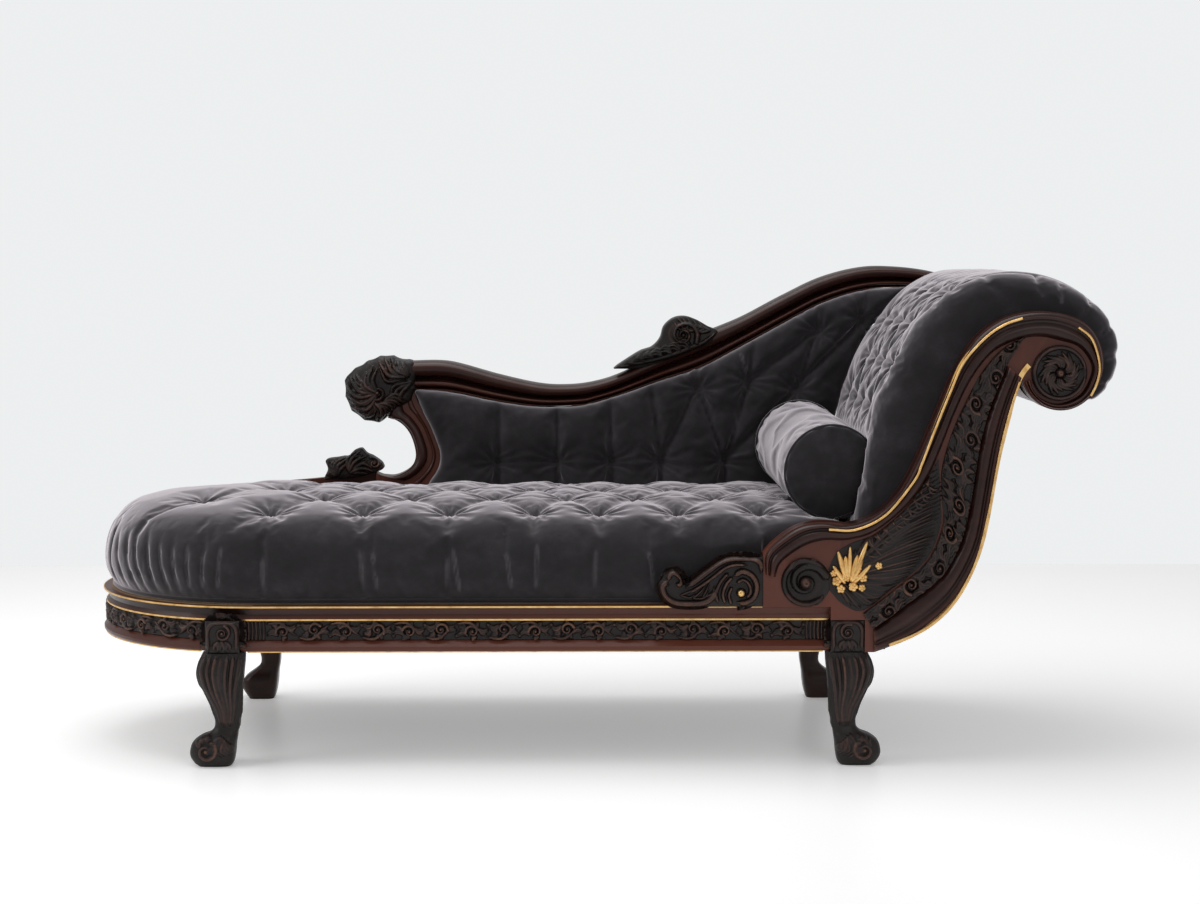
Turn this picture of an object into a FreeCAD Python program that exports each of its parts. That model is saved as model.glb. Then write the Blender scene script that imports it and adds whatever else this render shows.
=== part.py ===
# Fainting couch: carved wooden frame, round foot end, high back rest, rolled head end, deep buttoned seat.
# Millimetres. X runs from the foot end to the head end, Y from the front to the back, Z up from the floor.
import FreeCAD
import Part
import math
import os

# Seat frame
rail_half_depth = 310.0        # centre line to the outer face of the long seat rails
foot_tip_x = -934.5            # outermost point of the round foot end rail
head_x = 500.0                 # inner face of the cross rail at the head end
rail_bottom = 210.0            # height of the underside of the seat rails
rail_height = 83.0
rail_thickness = 28.0
head_rail_thickness = 28.0
tenon_length = 14.0
tenon_height = 46.0
tenon_rise = 18.0              # underside of the rail to a tenon
tenon_thickness = 12.0
joint_clearance = 0.2          # play left all round a tenon or a dowel
bearer_width = 40.0
bearer_height = 26.0
bearer_shoulder = 4.0
bearer_places = (-520.0, -130.0, 250.0)
corner_block_leg = 62.0
corner_block_height = 60.0
dowel_radius = 5.0
dowel_reach = 36.0             # how far a dowel runs into each piece

# Mouldings round the seat rails
lower_moulding_height = 19.0
lower_moulding_reach = 15.0
frieze_height = 37.0
frieze_reach = 5.0
upper_band_height = 20.0
upper_band_reach = 8.0
lip_reach = 13.0
gilt_width = 3.0
gilt_proud = 2.0
gilt_leg_gap = 7.0             # between a leg and the gilt line that stops at it

# Legs
foot_leg_x = -676.0
head_leg_x = 456.0
block_width = 62.0
block_proud = 32.0             # how far a leg block stands out from the rail face
leg_depth = 66.0
bolt_radius = 4.0
bolt_rise = 26.0               # thread above the underside of the rail
bolt_drop = 45.0               # thread below it

# Scrolled sides of the head end
side_lap = 12.0                # how far a scrolled side reaches in past the rail face
side_thickness = 42.0
bead_width = 9.0
bead_proud = 5.0
band_proud = 4.0
eye_radius = 50.0
eye_proud = 9.0
base_volute_radius = 45.0
base_volute_centre = (-121.0, 45.0)
arm_scroll_thickness = 26.0
arm_scroll_gap = 3.0           # between its back and the plane of the rail face
roll_radius = 74.0             # wooden roll that carries the head pad
roll_wall = 18.0
roll_centre = (331.0, 434.0)   # from head_x and the rail top
eye_drop = 10.0                # centre of the carved eye below the centre of the roll
head_rail_width = 34.0
head_lower_rail_place = (34.0, 74.0)       # left bottom edge, from head_x and the rail top
head_lower_rail_height = 50.0
head_middle_rail_place = (126.0, 262.0)
head_middle_rail_height = 40.0
cover_thickness = 3.0
cover_gap = 1.0                # between the outside cover of the back and its frame

# Back rest
back_length = 813.0            # head_x back to the inner edge of the end scroll
back_inset = 55.0              # front face of the back frame inside the rear rail face
back_thickness = 43.0
upright_width = 40.0
back_rail_height = 42.0
carving_proud = 12.0
wing_thickness = 18.0
wing_inset = 11.0              # front face of the wing inside the rear rail face

# Upholstery
welt_radius = 4.0
hessian_thickness = 3.0
seat_side_bulge = 10.0         # how far the seat pad swells past the rail face
seat_crown = 178.0             # height of the crown of the seat pad above the rails
seat_pad_end = -48.0           # head end of the seat pad, from head_x
back_pad_front = 27.0          # how far the back pad stands in front of the back frame
back_pad_tuck = 8.0            # how far it reaches into the back frame
back_pad_round = 10.0          # depth of the rounding of its edge
button_radius = 11.0
button_height = 7.0
tuft_radius = 36.0
tuft_depth = 24.0
fold_depth = 11.0
fold_half_width = 9.0
pad_gap = 0.6                  # air between a pad and a hard piece
bolster_radius = 88.0
bolster_front = (-64.0, -240.0, 235.0)   # axis end, from head_x, centre line and rail top
bolster_rear = (-83.0, 208.0, 249.0)
bolster_gap = 0.8
bolster_corner = 12.0
bolster_crown = 9.0            # how far the middle of an end stands out
piping_radius = 3.5

# Springing under the seat
web_width = 50.0
web_thickness = 2.0
spring_wire = 3.0
spring_radius = 34.0
dust_inset = 46.0
dust_thickness = 1.5
web_columns = (-1254.0, -920.0, -775.0, -485.0, -340.0, -155.0)   # from head_x
web_rows = (-150.0, 0.0, 150.0)

# Button rows across the seat, as distances from the centre line and along X from head_x
outer_columns = (-1098.0, -929.0, -770.0, -612.0, -493.0, -349.0, -197.0)
inner_columns = (-1239.0, -1014.0, -850.0, -691.0, -552.0, -421.0, -273.0, -125.0)
seat_rows = ((-222.0, outer_columns), (-106.0, inner_columns), (11.0, outer_columns),
             (128.0, inner_columns), (238.0, outer_columns))

rail_top = rail_bottom + rail_height
round_x = foot_tip_x + rail_half_depth
lower_top = rail_bottom + lower_moulding_height
frieze_top = lower_top + frieze_height
band_bottom = frieze_top + gilt_width
band_top = band_bottom + upper_band_height
block_top = band_bottom
side_inner_y = rail_half_depth - side_lap
side_outer_y = side_inner_y + side_thickness
back_front_y = rail_half_depth - back_inset
post_x = head_x - back_length
back_rear_y = back_front_y + back_thickness
pad_bottom = rail_top + hessian_thickness
seat_end_x = head_x + seat_pad_end
side_foot_x = head_x + 4.0
arm_x = head_x - 198.0
arm_tip_x = arm_x - 200.0      # clear of the tip of the arm scroll
wing_left_x = post_x - 400.0
scroll_left_x = post_x - 142.0
scroll_inner_x = post_x - 30.0
wing_y = rail_half_depth - wing_inset
far = 2000.0                   # beyond the couch on every side


def v(x, y, z):
    return FreeCAD.Vector(x, y, z)


def box(x0, x1, y0, y1, z0, z1):
    return Part.makeBox(x1 - x0, y1 - y0, z1 - z0, v(x0, y0, z0))


def save(name, *solids):
    shape = solids[0] if len(solids) == 1 else Part.makeCompound(list(solids))
    shape.exportStep("parts/" + name + ".step")


def mirrored(shape):
    """The same piece on the other side of the centre line."""
    return shape.mirror(v(0, 0, 0), v(0, 1, 0))


def edge_through(points):
    """Two points make a line, three an arc, more a smooth curve."""
    if len(points) == 2:
        return Part.LineSegment(points[0], points[1]).toShape()
    if len(points) == 3:
        return Part.Arc(points[0], points[1], points[2]).toShape()
    curve = Part.BSplineCurve()
    curve.interpolate(points)
    return curve.toShape()


def upright_wire(runs, y):
    return Part.Wire([edge_through([v(x, y, z) for x, z in run]) for run in runs])


def upright_slab(runs, y0, y1):
    """Board standing along X, from y0 to y1, with an outline of runs of (x, z) points."""
    return Part.Face(upright_wire(runs, y0)).extrude(v(0, y1 - y0, 0))


def from_head(points):
    """Points given from the head rail and the rail top, in the frame of the couch."""
    return [(head_x + x, rail_top + z) for x, z in points]


def from_post(points):
    return [(post_x + x, rail_top + z) for x, z in points]


def closed_run(points):
    """A smooth run of points closed by a straight line."""
    return [points, [points[-1], points[0]]]


def strip(points, width, y0, y1):
    """Bead of even width along a smooth line of (x, z) points."""
    line = edge_through([v(x, 0, z) for x, z in points])
    count = 3 * len(points)
    left = []
    right = []
    for i in range(count + 1):
        t = line.FirstParameter + (line.LastParameter - line.FirstParameter) * i / count
        p = line.valueAt(t)
        d = line.tangentAt(t)
        left.append((p.x - d.z * width / 2, p.z + d.x * width / 2))
        right.append((p.x + d.z * width / 2, p.z - d.x * width / 2))
    right.reverse()
    return upright_slab([left, [left[-1], right[0]], right, [right[-1], left[0]]], y0, y1)


def seat_wire(inset, z, end_x):
    """Plan of the seat: two straight sides, a half circle at the foot, a straight end."""
    r = rail_half_depth - inset
    k = r * math.sqrt(0.5)
    return Part.Wire([
        edge_through([v(end_x, -r, z), v(round_x, -r, z)]),
        edge_through([v(round_x, -r, z), v(round_x - k, -k, z), v(round_x - r, 0, z)]),
        edge_through([v(round_x - r, 0, z), v(round_x - k, k, z), v(round_x, r, z)]),
        edge_through([v(round_x, r, z), v(end_x, r, z)]),
        edge_through([v(end_x, r, z), v(end_x, -r, z)])])


def seat_slab(inset, z0, z1, end_x):
    return Part.Face(seat_wire(inset, z0, end_x)).extrude(v(0, 0, z1 - z0))


def run_round_seat(section, end_x):
    """A moulding of one (reach, z) section along the front, round the foot and along the back."""
    points = [v(round_x, -rail_half_depth - reach, z) for reach, z in section]
    face = Part.Face(Part.makePolygon(points + [points[0]]))
    front = face.extrude(v(end_x - round_x, 0, 0))
    turn = face.revolve(v(round_x, 0, 0), v(0, 0, 1), -180)
    return front.fuse([turn, mirrored(front)]).removeSplitter()


def cross_piece(x0, x1, z0, z1, tenon_z):
    """Rail across the seat with a tenon at each end, let into the long rails."""
    inner = rail_half_depth - rail_thickness
    mid = (x0 + x1) / 2
    body = box(x0, x1, -inner, inner, z0, z1)
    ends = inner + tenon_length
    low, high = tenon_z
    tongue = box(mid - tenon_thickness / 2, mid + tenon_thickness / 2, -ends, ends, low, high)
    return body.fuse(tongue).removeSplitter()


def mortises(x0, x1, tenon_z):
    inner = rail_half_depth - rail_thickness
    mid = (x0 + x1) / 2
    half = tenon_thickness / 2 + joint_clearance
    reach = inner + tenon_length + joint_clearance
    low, high = tenon_z
    return box(mid - half, mid + half, -reach, reach, low - joint_clearance, high + joint_clearance)


def rail_joint_dowels(grow):
    """Two dowels across each joint between a long rail and the round foot rail."""
    y = rail_half_depth - rail_thickness / 2
    pins = []
    for side in (-1, 1):
        for z in (rail_bottom + rail_height / 4, rail_bottom + rail_height * 3 / 4):
            start = v(round_x - dowel_reach - grow, side * y, z)
            pins.append(Part.makeCylinder(dowel_radius + grow, 2 * (dowel_reach + grow), start, v(1, 0, 0)))
    return pins


def leg_bolts(grow):
    """Hanger bolts from each leg up into the rails."""
    bolts = []
    for x in (foot_leg_x, head_leg_x):
        for side in (-1, 1):
            y = side * bolt_y(x)
            start = v(x, y, rail_bottom - bolt_drop - grow)
            bolts.append(Part.makeCylinder(bolt_radius + grow, bolt_drop + bolt_rise + 2 * grow, start))
    return bolts


def bolt_y(x):
    """Middle of the rail's wall at a place along the seat."""
    r = rail_half_depth - rail_thickness / 2
    return math.sqrt(r * r - max(round_x - x, 0.0) ** 2)


def build_seat_frame():
    inner = rail_half_depth - rail_thickness
    rail_end = head_x + head_rail_thickness
    tenon_z = (rail_bottom + tenon_rise, rail_bottom + tenon_rise + tenon_height)
    bearer_z = (rail_bottom + web_thickness, rail_bottom + web_thickness + bearer_height)
    bearer_tenon_z = (bearer_z[0] + bearer_shoulder, bearer_z[1] - bearer_shoulder)
    front = box(round_x, rail_end, -rail_half_depth, -inner, rail_bottom, rail_top)
    wall = box(round_x, round_x + 1, -rail_half_depth, -inner, rail_bottom, rail_top)
    wall_end = min(wall.Faces, key=lambda face: face.CenterOfMass.x)
    foot = wall_end.revolve(v(round_x, 0, 0), v(0, 0, 1), -180)
    head = cross_piece(head_x, rail_end, rail_bottom, rail_top, tenon_z)
    holes = rail_joint_dowels(joint_clearance) + leg_bolts(joint_clearance)
    holes.append(mortises(head_x, rail_end, tenon_z))
    bearers = []
    for x in bearer_places:
        ends = (x - bearer_width / 2, x + bearer_width / 2)
        bearers.append(cross_piece(ends[0], ends[1], bearer_z[0], bearer_z[1], bearer_tenon_z))
        holes.append(mortises(ends[0], ends[1], bearer_tenon_z))
    front = front.cut(holes)
    foot = foot.cut(holes)
    save("front_seat_rail", front)
    save("rear_seat_rail", mirrored(front))
    save("foot_end_rail", foot)
    save("head_seat_rail", head)
    save("cross_bearers", *bearers)
    save("rail_dowels", *rail_joint_dowels(0.0))
    save("leg_bolts", *leg_bolts(0.0))
    blocks = []
    top = rail_bottom + rail_height / 2 + corner_block_height / 2
    for side in (-1, 1):
        a = v(head_x, side * inner, top - corner_block_height)
        b = v(head_x - corner_block_leg, side * inner, a.z)
        c = v(head_x, side * (inner - corner_block_leg), a.z)
        blocks.append(Part.Face(Part.makePolygon([a, b, c, a])).extrude(v(0, 0, corner_block_height)))
    save("corner_blocks", *blocks)


def block_boxes(half, bottom):
    """Room for the four leg blocks, in front of and behind the rails."""
    reach = rail_half_depth + block_proud
    return [box(x - half, x + half, -reach, reach, bottom, block_top) for x in (foot_leg_x, head_leg_x)]


def split_at_legs(moulding):
    """Cut the leg blocks out of a moulding and name what is left: front, foot and rear lengths."""
    pieces = {}
    for solid in moulding.cut(block_boxes(block_width / 2, rail_bottom)).Solids:
        centre = solid.CenterOfMass
        if centre.x < foot_leg_x:
            pieces["foot"] = solid
        elif centre.y < 0:
            pieces["front"] = solid
        else:
            pieces["rear"] = solid
    return pieces


def build_rail_mouldings():
    end_x = head_leg_x - block_width / 2
    low = lower_moulding_reach
    lower = run_round_seat([(0, rail_bottom), (low - 3, rail_bottom), (low, rail_bottom + 4),
                            (low, rail_bottom + 9), (frieze_reach, lower_top), (0, lower_top)], end_x)
    frieze = run_round_seat([(0, lower_top), (frieze_reach, lower_top), (frieze_reach, frieze_top),
                             (0, frieze_top)], end_x)
    for name, moulding in (("lower_moulding", lower), ("frieze", frieze)):
        for place, piece in split_at_legs(moulding).items():
            save(place + "_" + name, piece)
    upper = run_round_seat([(0, band_bottom), (upper_band_reach, band_bottom),
                            (upper_band_reach - 3, band_bottom + 8), (upper_band_reach, band_top),
                            (lip_reach, band_top), (lip_reach, rail_top), (0, rail_top)], end_x)
    save("upper_moulding", upper)
    line_a = run_round_seat([(lip_reach, band_top), (lip_reach + gilt_proud, band_top + 1),
                             (lip_reach + gilt_proud, rail_top), (lip_reach, rail_top)], arm_x)
    line_b = run_round_seat([(0, frieze_top), (upper_band_reach + gilt_proud, frieze_top),
                             (upper_band_reach + gilt_proud, band_bottom), (0, band_bottom)], end_x)
    under = rail_bottom - gilt_proud
    line_c = run_round_seat([(low - 3 - gilt_width, under), (low - 3, under), (low - 3, rail_bottom),
                             (low - 3 - gilt_width, rail_bottom)], end_x)
    leg_top = leg_sections[0][2] / 2 + gilt_leg_gap
    cut_lines = line_b.cut(block_boxes(block_width / 2, rail_bottom)).Solids
    cut_lines += line_c.cut(block_boxes(leg_top, rail_bottom - leg_depth)).Solids
    save("rail_gilding", line_a, *cut_lines)


# Shape of a front leg: height, shift outward, width along X, depth across, shift of the front outward
leg_sections = ((210.0, 0.0, 72.0, 1.0, 0.0), (170.0, 8.0, 84.0, 1.05, 4.0), (135.0, 3.0, 66.0, 0.9, 2.0),
                (108.0, -2.0, 54.0, 0.76, -2.0), (76.0, -4.0, 46.0, 0.68, -4.0), (58.0, 8.0, 62.0, 0.85, 2.0),
                (42.0, 20.0, 82.0, 1.05, 4.0), (22.0, 23.0, 82.0, 1.05, 4.5), (0.0, 19.0, 60.0, 0.85, 3.0))
leg_corner = 0.3               # corner radius as a share of the narrower side
rear_leg_slimness = 0.86


def rounded_wire(x, y, width, depth, z):
    r = leg_corner * min(width, depth)
    k = r * (1 - math.sqrt(0.5))
    a = width / 2
    b = depth / 2
    edges = []
    for sx, sy in ((1, 1), (-1, 1), (-1, -1), (1, -1)):
        on_side = v(x + sx * a, y + sy * (b - r), z)
        middle = v(x + sx * (a - k), y + sy * (b - k), z)
        on_end = v(x + sx * (a - r), y + sy * b, z)
        run = (on_side, middle, on_end) if sx == sy else (on_end, middle, on_side)
        if edges:
            edges.append(edge_through([edges[-1].Vertexes[-1].Point, run[0]]))
        edges.append(edge_through(list(run)))
    edges.append(edge_through([edges[-1].Vertexes[-1].Point, edges[0].Vertexes[0].Point]))
    return Part.Wire(edges)


def leg(x, outward, slim):
    """Cabriole leg with a scrolled foot and its block in front of the rail."""
    wires = []
    for height, shift, width, depth, forward in leg_sections:
        y = -(rail_half_depth + block_proud - leg_depth / 2) - forward * slim
        z = height * rail_bottom / leg_sections[0][0]
        wires.append(rounded_wire(x + outward * shift * slim, y, width * slim, leg_depth * depth * slim, z))
    shaft = Part.makeLoft(wires, True, False)
    half = block_width / 2
    reach = rail_half_depth + block_proud
    block = box(x - half, x + half, -reach, -rail_half_depth + block_width / 2, rail_bottom, block_top)
    block = block.cut(seat_slab(0, rail_bottom, rail_top, head_x + head_rail_thickness))
    return shaft.fuse(block).removeSplitter().cut(leg_bolts(joint_clearance))


def build_legs():
    save("front_foot_leg", leg(foot_leg_x, -1, 1.0))
    save("front_head_leg", leg(head_leg_x, 1, 1.0))
    save("rear_foot_leg", mirrored(leg(foot_leg_x, -1, rear_leg_slimness)))
    save("rear_head_leg", mirrored(leg(head_leg_x, 1, rear_leg_slimness)))


# Scrolled side, as smooth runs of (x, z) points from the head rail and the rail top
side_top_run = ((-198, 98), (-167, 127), (-130, 148), (-90, 154), (-50, 150))
side_upper_run = ((-50, 150), (-4, 163), (41, 202), (73, 256), (99, 316), (124, 378), (150, 437),
                  (182, 486), (225, 519), (275, 533), (330, 531), (378, 512), (405, 474), (410, 427),
                  (391, 384), (355, 359),
                  (312, 360), (280, 382), (264, 414))
side_outer_run = ((264, 414), (245, 362), (230, 301), (219, 240), (209, 177), (197, 110), (175, 57), (140, 3),
                  (90, -42), (50, -65), (4, -83))
inner_bead_run = ((-81, 142), (-32, 142), (22, 169), (71, 229), (85, 260), (102, 306), (120, 353), (137, 396),
                  (155, 439), (181, 472), (208, 497), (235, 513), (262, 522))
outer_bead_run = ((276, 438), (262, 419), (243, 356), (226, 284), (209, 184), (190, 98), (169, 47), (143, 5),
                  (107, -30), (70, -52), (30, -68))
band_left_run = ((267, 489), (227, 466), (192, 425), (165, 374), (139, 314), (122, 247), (124, 190),
                 (125, 147), (97, 83), (34, 28), (-17, -11))
band_right_run = ((2, -40), (62, 4), (125, 55), (160, 119), (177, 192), (190, 283), (207, 356), (237, 437),
                  (267, 489))


def side_outline():
    """The S shaped side: hump, sweep up, roll, outer sweep down, and its seat on moulding and block."""
    block_left = head_leg_x - block_width / 2 - head_x
    block_right = head_leg_x + block_width / 2 - head_x
    on_block = block_top - rail_top
    foot = rail_bottom - rail_top
    runs = [side_top_run, side_upper_run, side_outer_run[:-1] + ((side_foot_x - head_x, foot),)]
    base = ((side_foot_x - head_x, foot), (block_right, foot), (block_right, on_block),
            (block_left, on_block), (block_left, 0), (arm_x - head_x, 0), side_top_run[0])
    for i in range(len(base) - 1):
        runs.append((base[i], base[i + 1]))
    return [from_head(run) for run in runs]


def disc(x, z, radius, y0, y1):
    return Part.makeCylinder(radius, y1 - y0, v(x, y0, z), v(0, 1, 0))


def roll_middle():
    return head_x + roll_centre[0], rail_top + roll_centre[1]


def dome(x, z, radius, y, proud):
    """Turned boss: a low cone frustum with a smaller one on it, standing out towards the front."""
    low = Part.makeCone(radius, radius * 0.82, proud * 0.6, v(x, y, z), v(0, -1, 0))
    top = Part.makeCone(radius * 0.4, radius * 0.25, proud * 0.4, v(x, y - proud * 0.6, z), v(0, -1, 0))
    return low.fuse(top)


def build_scrolled_sides():
    face_y = -side_outer_y
    side = upright_slab(side_outline(), face_y, -side_inner_y)
    rails = box(round_x, head_x + head_rail_thickness, -rail_half_depth, 0, rail_bottom, rail_top)
    side = side.cut(rails)
    save("front_scroll_side", side)
    save("rear_scroll_side", mirrored(side))
    inner_bead = strip(from_head(inner_bead_run), bead_width, face_y - bead_proud, face_y)
    outer_bead = strip(from_head(outer_bead_run), bead_width, face_y - bead_proud, face_y)
    save("front_scroll_beads", inner_bead, outer_bead)
    save("rear_scroll_beads", mirrored(inner_bead), mirrored(outer_bead))
    gilt_y = face_y - bead_proud
    inner_line = strip(from_head(inner_bead_run), gilt_width, gilt_y - gilt_proud, gilt_y)
    outer_line = strip(from_head(outer_bead_run), gilt_width, gilt_y - gilt_proud, gilt_y)
    save("front_scroll_gilding", inner_line, outer_line)
    save("rear_scroll_gilding", mirrored(inner_line), mirrored(outer_line))
    left = from_head(band_left_run)
    right = from_head(band_right_run)
    band = upright_slab([left, [left[-1], right[0]], right], face_y - band_proud, face_y)
    save("front_scroll_carving", band)
    save("rear_scroll_carving", mirrored(band))
    x, z = roll_middle()
    eye = dome(x, z - eye_drop, eye_radius, face_y, eye_proud)
    save("front_scroll_eye", eye)
    save("rear_scroll_eye", mirrored(eye))


arm_scroll_run = ((0, 91), (-22, 88), (-64, 89), (-100, 66), (-132, 42), (-143, 38), (-151, 52), (-163, 68),
                  (-180, 66), (-190, 48), (-184, 22), (-168, 7), (-140, 0))
leaf_run = ((-79, 87), (-40, 102), (10, 138), (60, 187), (112, 218), (96, 140), (62, 84), (10, 40),
            (-50, 12))
flower_places = ((-62, 62, 15), (-44, 78, 13), (-28, 60, 14), (-46, 44, 13), (-12, 44, 10))


def build_side_carvings():
    face_y = -side_outer_y
    outline = [(arm_x + x, rail_top + z) for x, z in arm_scroll_run]
    corner = (arm_x, rail_top)
    rear_y = -rail_half_depth - arm_scroll_gap
    arm = upright_slab([outline, [outline[-1], corner], [corner, outline[0]]],
                       rear_y - arm_scroll_thickness, rear_y)
    save("front_arm_scroll", arm.cut(box(foot_tip_x, head_x, -side_outer_y, 0, rail_bottom, rail_top)))
    volute_x, volute_z = from_head([base_volute_centre])[0]
    volute = dome(volute_x, volute_z, base_volute_radius, face_y, carving_proud)
    save("front_base_volute", volute)
    leaf = upright_slab([from_head(run) for run in closed_run(leaf_run)], face_y - band_proud, face_y)
    leaf = leaf.cut([disc(volute_x, volute_z, base_volute_radius + pad_gap, face_y - 20, face_y),
                     upright_slab([from_head(band_left_run), from_head([band_left_run[-1], band_right_run[0]]),
                                   from_head(band_right_run)], face_y - 20, face_y)])
    save("front_leaf_carving", max(leaf.Solids, key=lambda solid: solid.Volume))
    petals = []
    for x, z, radius in flower_places:
        start = v(head_x + x, face_y - band_proud, rail_top + z)
        petals.append(Part.makeCone(radius, radius * 0.5, 4.0, start, v(0, -1, 0)))
    spray = petals[0].fuse(petals[1:])
    save("gilt_flower_spray", spray.removeSplitter())


# Outer surface of the head pad, the line that backs it and the outside of the head,
# all from the head rail and the rail top
head_pad_run = ((-30, 125), (-24, 180), (-14, 237), (-2, 305), (26, 397), (72, 488), (132, 559), (203, 595),
                (280, 598), (352, 580), (412, 540), (444, 490), (449, 445), (434, 400), (404, 370), (376, 361))
head_support_run = ((75, 125), (84, 180), (100, 230), (125, 300), (150, 362), (185, 415), (220, 443),
                    (261, 460))
head_outside_run = ((36, -78), (86, -50), (134, -8), (168, 50), (190, 108), (201, 175), (211, 240), (222, 300),
                    (238, 358), (258, 413))


def sheet_round_roll(start, end):
    """Cloth round the roll, between two angles in degrees."""
    x, z = roll_middle()
    outer = Part.makeCylinder(roll_radius + cover_thickness, 2 * side_inner_y, v(x, -side_inner_y, z),
                              v(0, 1, 0), end - start)
    outer.rotate(v(x, 0, z), v(0, 1, 0), -end)
    return outer.cut(disc(x, z, roll_radius, -side_inner_y, side_inner_y))


def build_head_frame():
    x, z = roll_middle()
    roll = disc(x, z, roll_radius, -side_inner_y, side_inner_y)
    roll = roll.cut(disc(x, z, roll_radius - roll_wall, -side_inner_y, side_inner_y))
    save("head_roll", roll)
    for name, (left, low), height in (("head_lower_rail", head_lower_rail_place, head_lower_rail_height),
                                      ("head_middle_rail", head_middle_rail_place, head_middle_rail_height)):
        save(name, box(head_x + left, head_x + left + head_rail_width, -side_inner_y, side_inner_y,
                       rail_top + low, rail_top + low + height))
    outside = strip(from_head(head_outside_run), cover_thickness, -side_inner_y, side_inner_y)
    save("head_outside_cover", outside.fuse(sheet_round_roll(196, 298)).removeSplitter())


# Back rest, in runs from the end scroll (post) and from the head rail
crest_top_post_run = ((-54, 414), (-3, 414), (39, 408), (121, 385), (203, 367), (260, 364))
crest_top_head_run = ((-500, 370), (-445, 387), (-362, 428), (-280, 468), (-198, 502), (-116, 545), (-34, 584),
                      (49, 605), (120, 606), (190, 597), (250, 578), (300, 550), (322, 535))
crest_low_head_run = ((300, 512), (262, 532), (205, 552), (130, 563), (48, 557), (-34, 531), (-116, 488),
                      (-198, 443), (-280, 400), (-363, 373), (-445, 344), (-500, 328))
crest_low_post_run = ((286, 322), (203, 320), (121, 330), (39, 347), (-3, 353), (-54, 357))
post_inner_run = ((-54, 357), (-34, 307), (-20, 280), (-8, 249), (0, 224), (-2, 203), (-10, 184), (-26, 158))
post_outer_run = ((-132, 184), (-118, 178), (-97, 177), (-77, 184), (-60, 197), (-51, 218), (-53, 238),
                  (-65, 269), (-86, 290), (-107, 297))
knuckle_run = ((-49, 359), (-60, 332), (-93, 312), (-118, 290), (-143, 289), (-163, 297), (-184, 316),
               (-194, 343), (-195, 374), (-184, 392), (-142, 417), (-108, 425), (-74, 417), (-49, 409))
mid_scroll_run = ((-460, 398), (-405, 433), (-380, 442), (-363, 460), (-355, 484), (-336, 501), (-312, 505),
                  (-287, 497), (-264, 484), (-246, 474), (-262, 450), (-300, 434), (-340, 418), (-400, 400))
wing_run = ((-392, 0), (-397, 60), (-392, 118), (-372, 150), (-330, 162), (-294, 165), (-242, 170),
            (-190, 176), (-132, 184))
leaf_crest_run = ((-242, 168), (-234, 190), (-236, 210), (-210, 216), (-190, 219), (-177, 231), (-163, 234),
                  (-149, 223), (-128, 212), (-118, 201), (-124, 188), (-180, 172))


def crest_solid():
    top = from_post(crest_top_post_run) + from_head(crest_top_head_run)
    low = from_head(crest_low_head_run) + from_post(crest_low_post_run)
    return upright_slab([top, [top[-1], low[0]], low, [low[-1], top[0]]], back_front_y, back_rear_y)


def post_solid():
    inner = from_post(post_inner_run)
    outer = from_post(post_outer_run)
    foot = from_post([(-30, 0), (-140, 0)])
    top = from_post([(-107, 330), (-90, 375), (-54, 375)])
    runs = [inner, [inner[-1], foot[0]], foot, [foot[1], outer[0]], outer, [outer[-1], top[0]],
            [top[0], top[1]], [top[1], top[2]], [top[2], inner[0]]]
    return upright_slab(runs, back_front_y, back_rear_y)


def knuckle_slab():
    """Carved knuckle that wraps the joint of the crest and the end scroll."""
    return upright_slab([from_post(run) for run in closed_run(knuckle_run)],
                        back_front_y - carving_proud, back_rear_y + carving_proud)


def build_back_frame():
    crest = crest_solid()
    post = post_solid()
    save("crest_rail", crest)
    save("back_end_scroll", post)
    save("back_knuckle", knuckle_slab().cut([crest, post]))
    scroll = upright_slab([from_head(run) for run in closed_run(mid_scroll_run)],
                          back_front_y - carving_proud, back_rear_y + carving_proud / 2)
    save("crest_carving", scroll.cut(crest))
    low = rail_top + back_rail_height
    front_y = back_front_y + back_pad_tuck
    bottom = box(scroll_inner_x, head_x + head_lower_rail_place[0], front_y, back_rear_y, rail_top, low)
    save("back_bottom_rail", bottom.cut(post))
    uprights = []
    for x in (post_x + 270, post_x + 560):
        stud = box(x, x + upright_width, front_y, back_rear_y - cover_thickness, low, rail_top + 600)
        uprights.append(min(stud.cut(crest).Solids, key=lambda solid: solid.CenterOfMass.z))
    save("back_uprights", *uprights)
    wing_points = from_post(wing_run)
    foot = from_post([(-132, 0), (-392, 0)])
    wing = upright_slab([wing_points, [wing_points[-1], foot[0]], foot], wing_y, wing_y + wing_thickness)
    save("rear_wing", wing)
    leaf = upright_slab([from_post(run) for run in closed_run(leaf_crest_run)],
                        wing_y - carving_proud / 2, wing_y + wing_thickness + carving_proud / 2)
    save("rear_leaf_carving", max(leaf.cut([wing, post]).Solids, key=lambda solid: solid.Volume))
    cover = upright_slab(back_opening(cover_gap, rail_top + back_rail_height + joint_clearance),
                         back_rear_y - cover_thickness, back_rear_y)
    save("back_outside_cover", cover.cut(knuckle_slab()))


def back_opening(gap, low_z):
    """Outline inside the back frame: end scroll, crest, head pad, bottom."""
    left = [(x + gap, z) for x, z in from_post(post_inner_run)]
    top = [(x, z - gap) for x, z in from_post(crest_low_post_run)[::-1] + from_head(crest_low_head_run)[::-1]]
    top = [point for point in top if point[0] < head_x + 125]
    left[0] = (left[0][0], top[0][1])
    top[0] = left[0]
    right = [(x - 2 * gap, z) for x, z in from_head(head_pad_run)[:7]]
    right[0] = (right[0][0], low_z)
    end = (head_x + 125, rail_top + 562 - gap)
    top.append(end)
    right[-1] = end
    right.reverse()
    return [left[::-1], top, right, [right[-1], (left[-1][0], low_z)], [(left[-1][0], low_z), left[-1]]]


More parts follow.
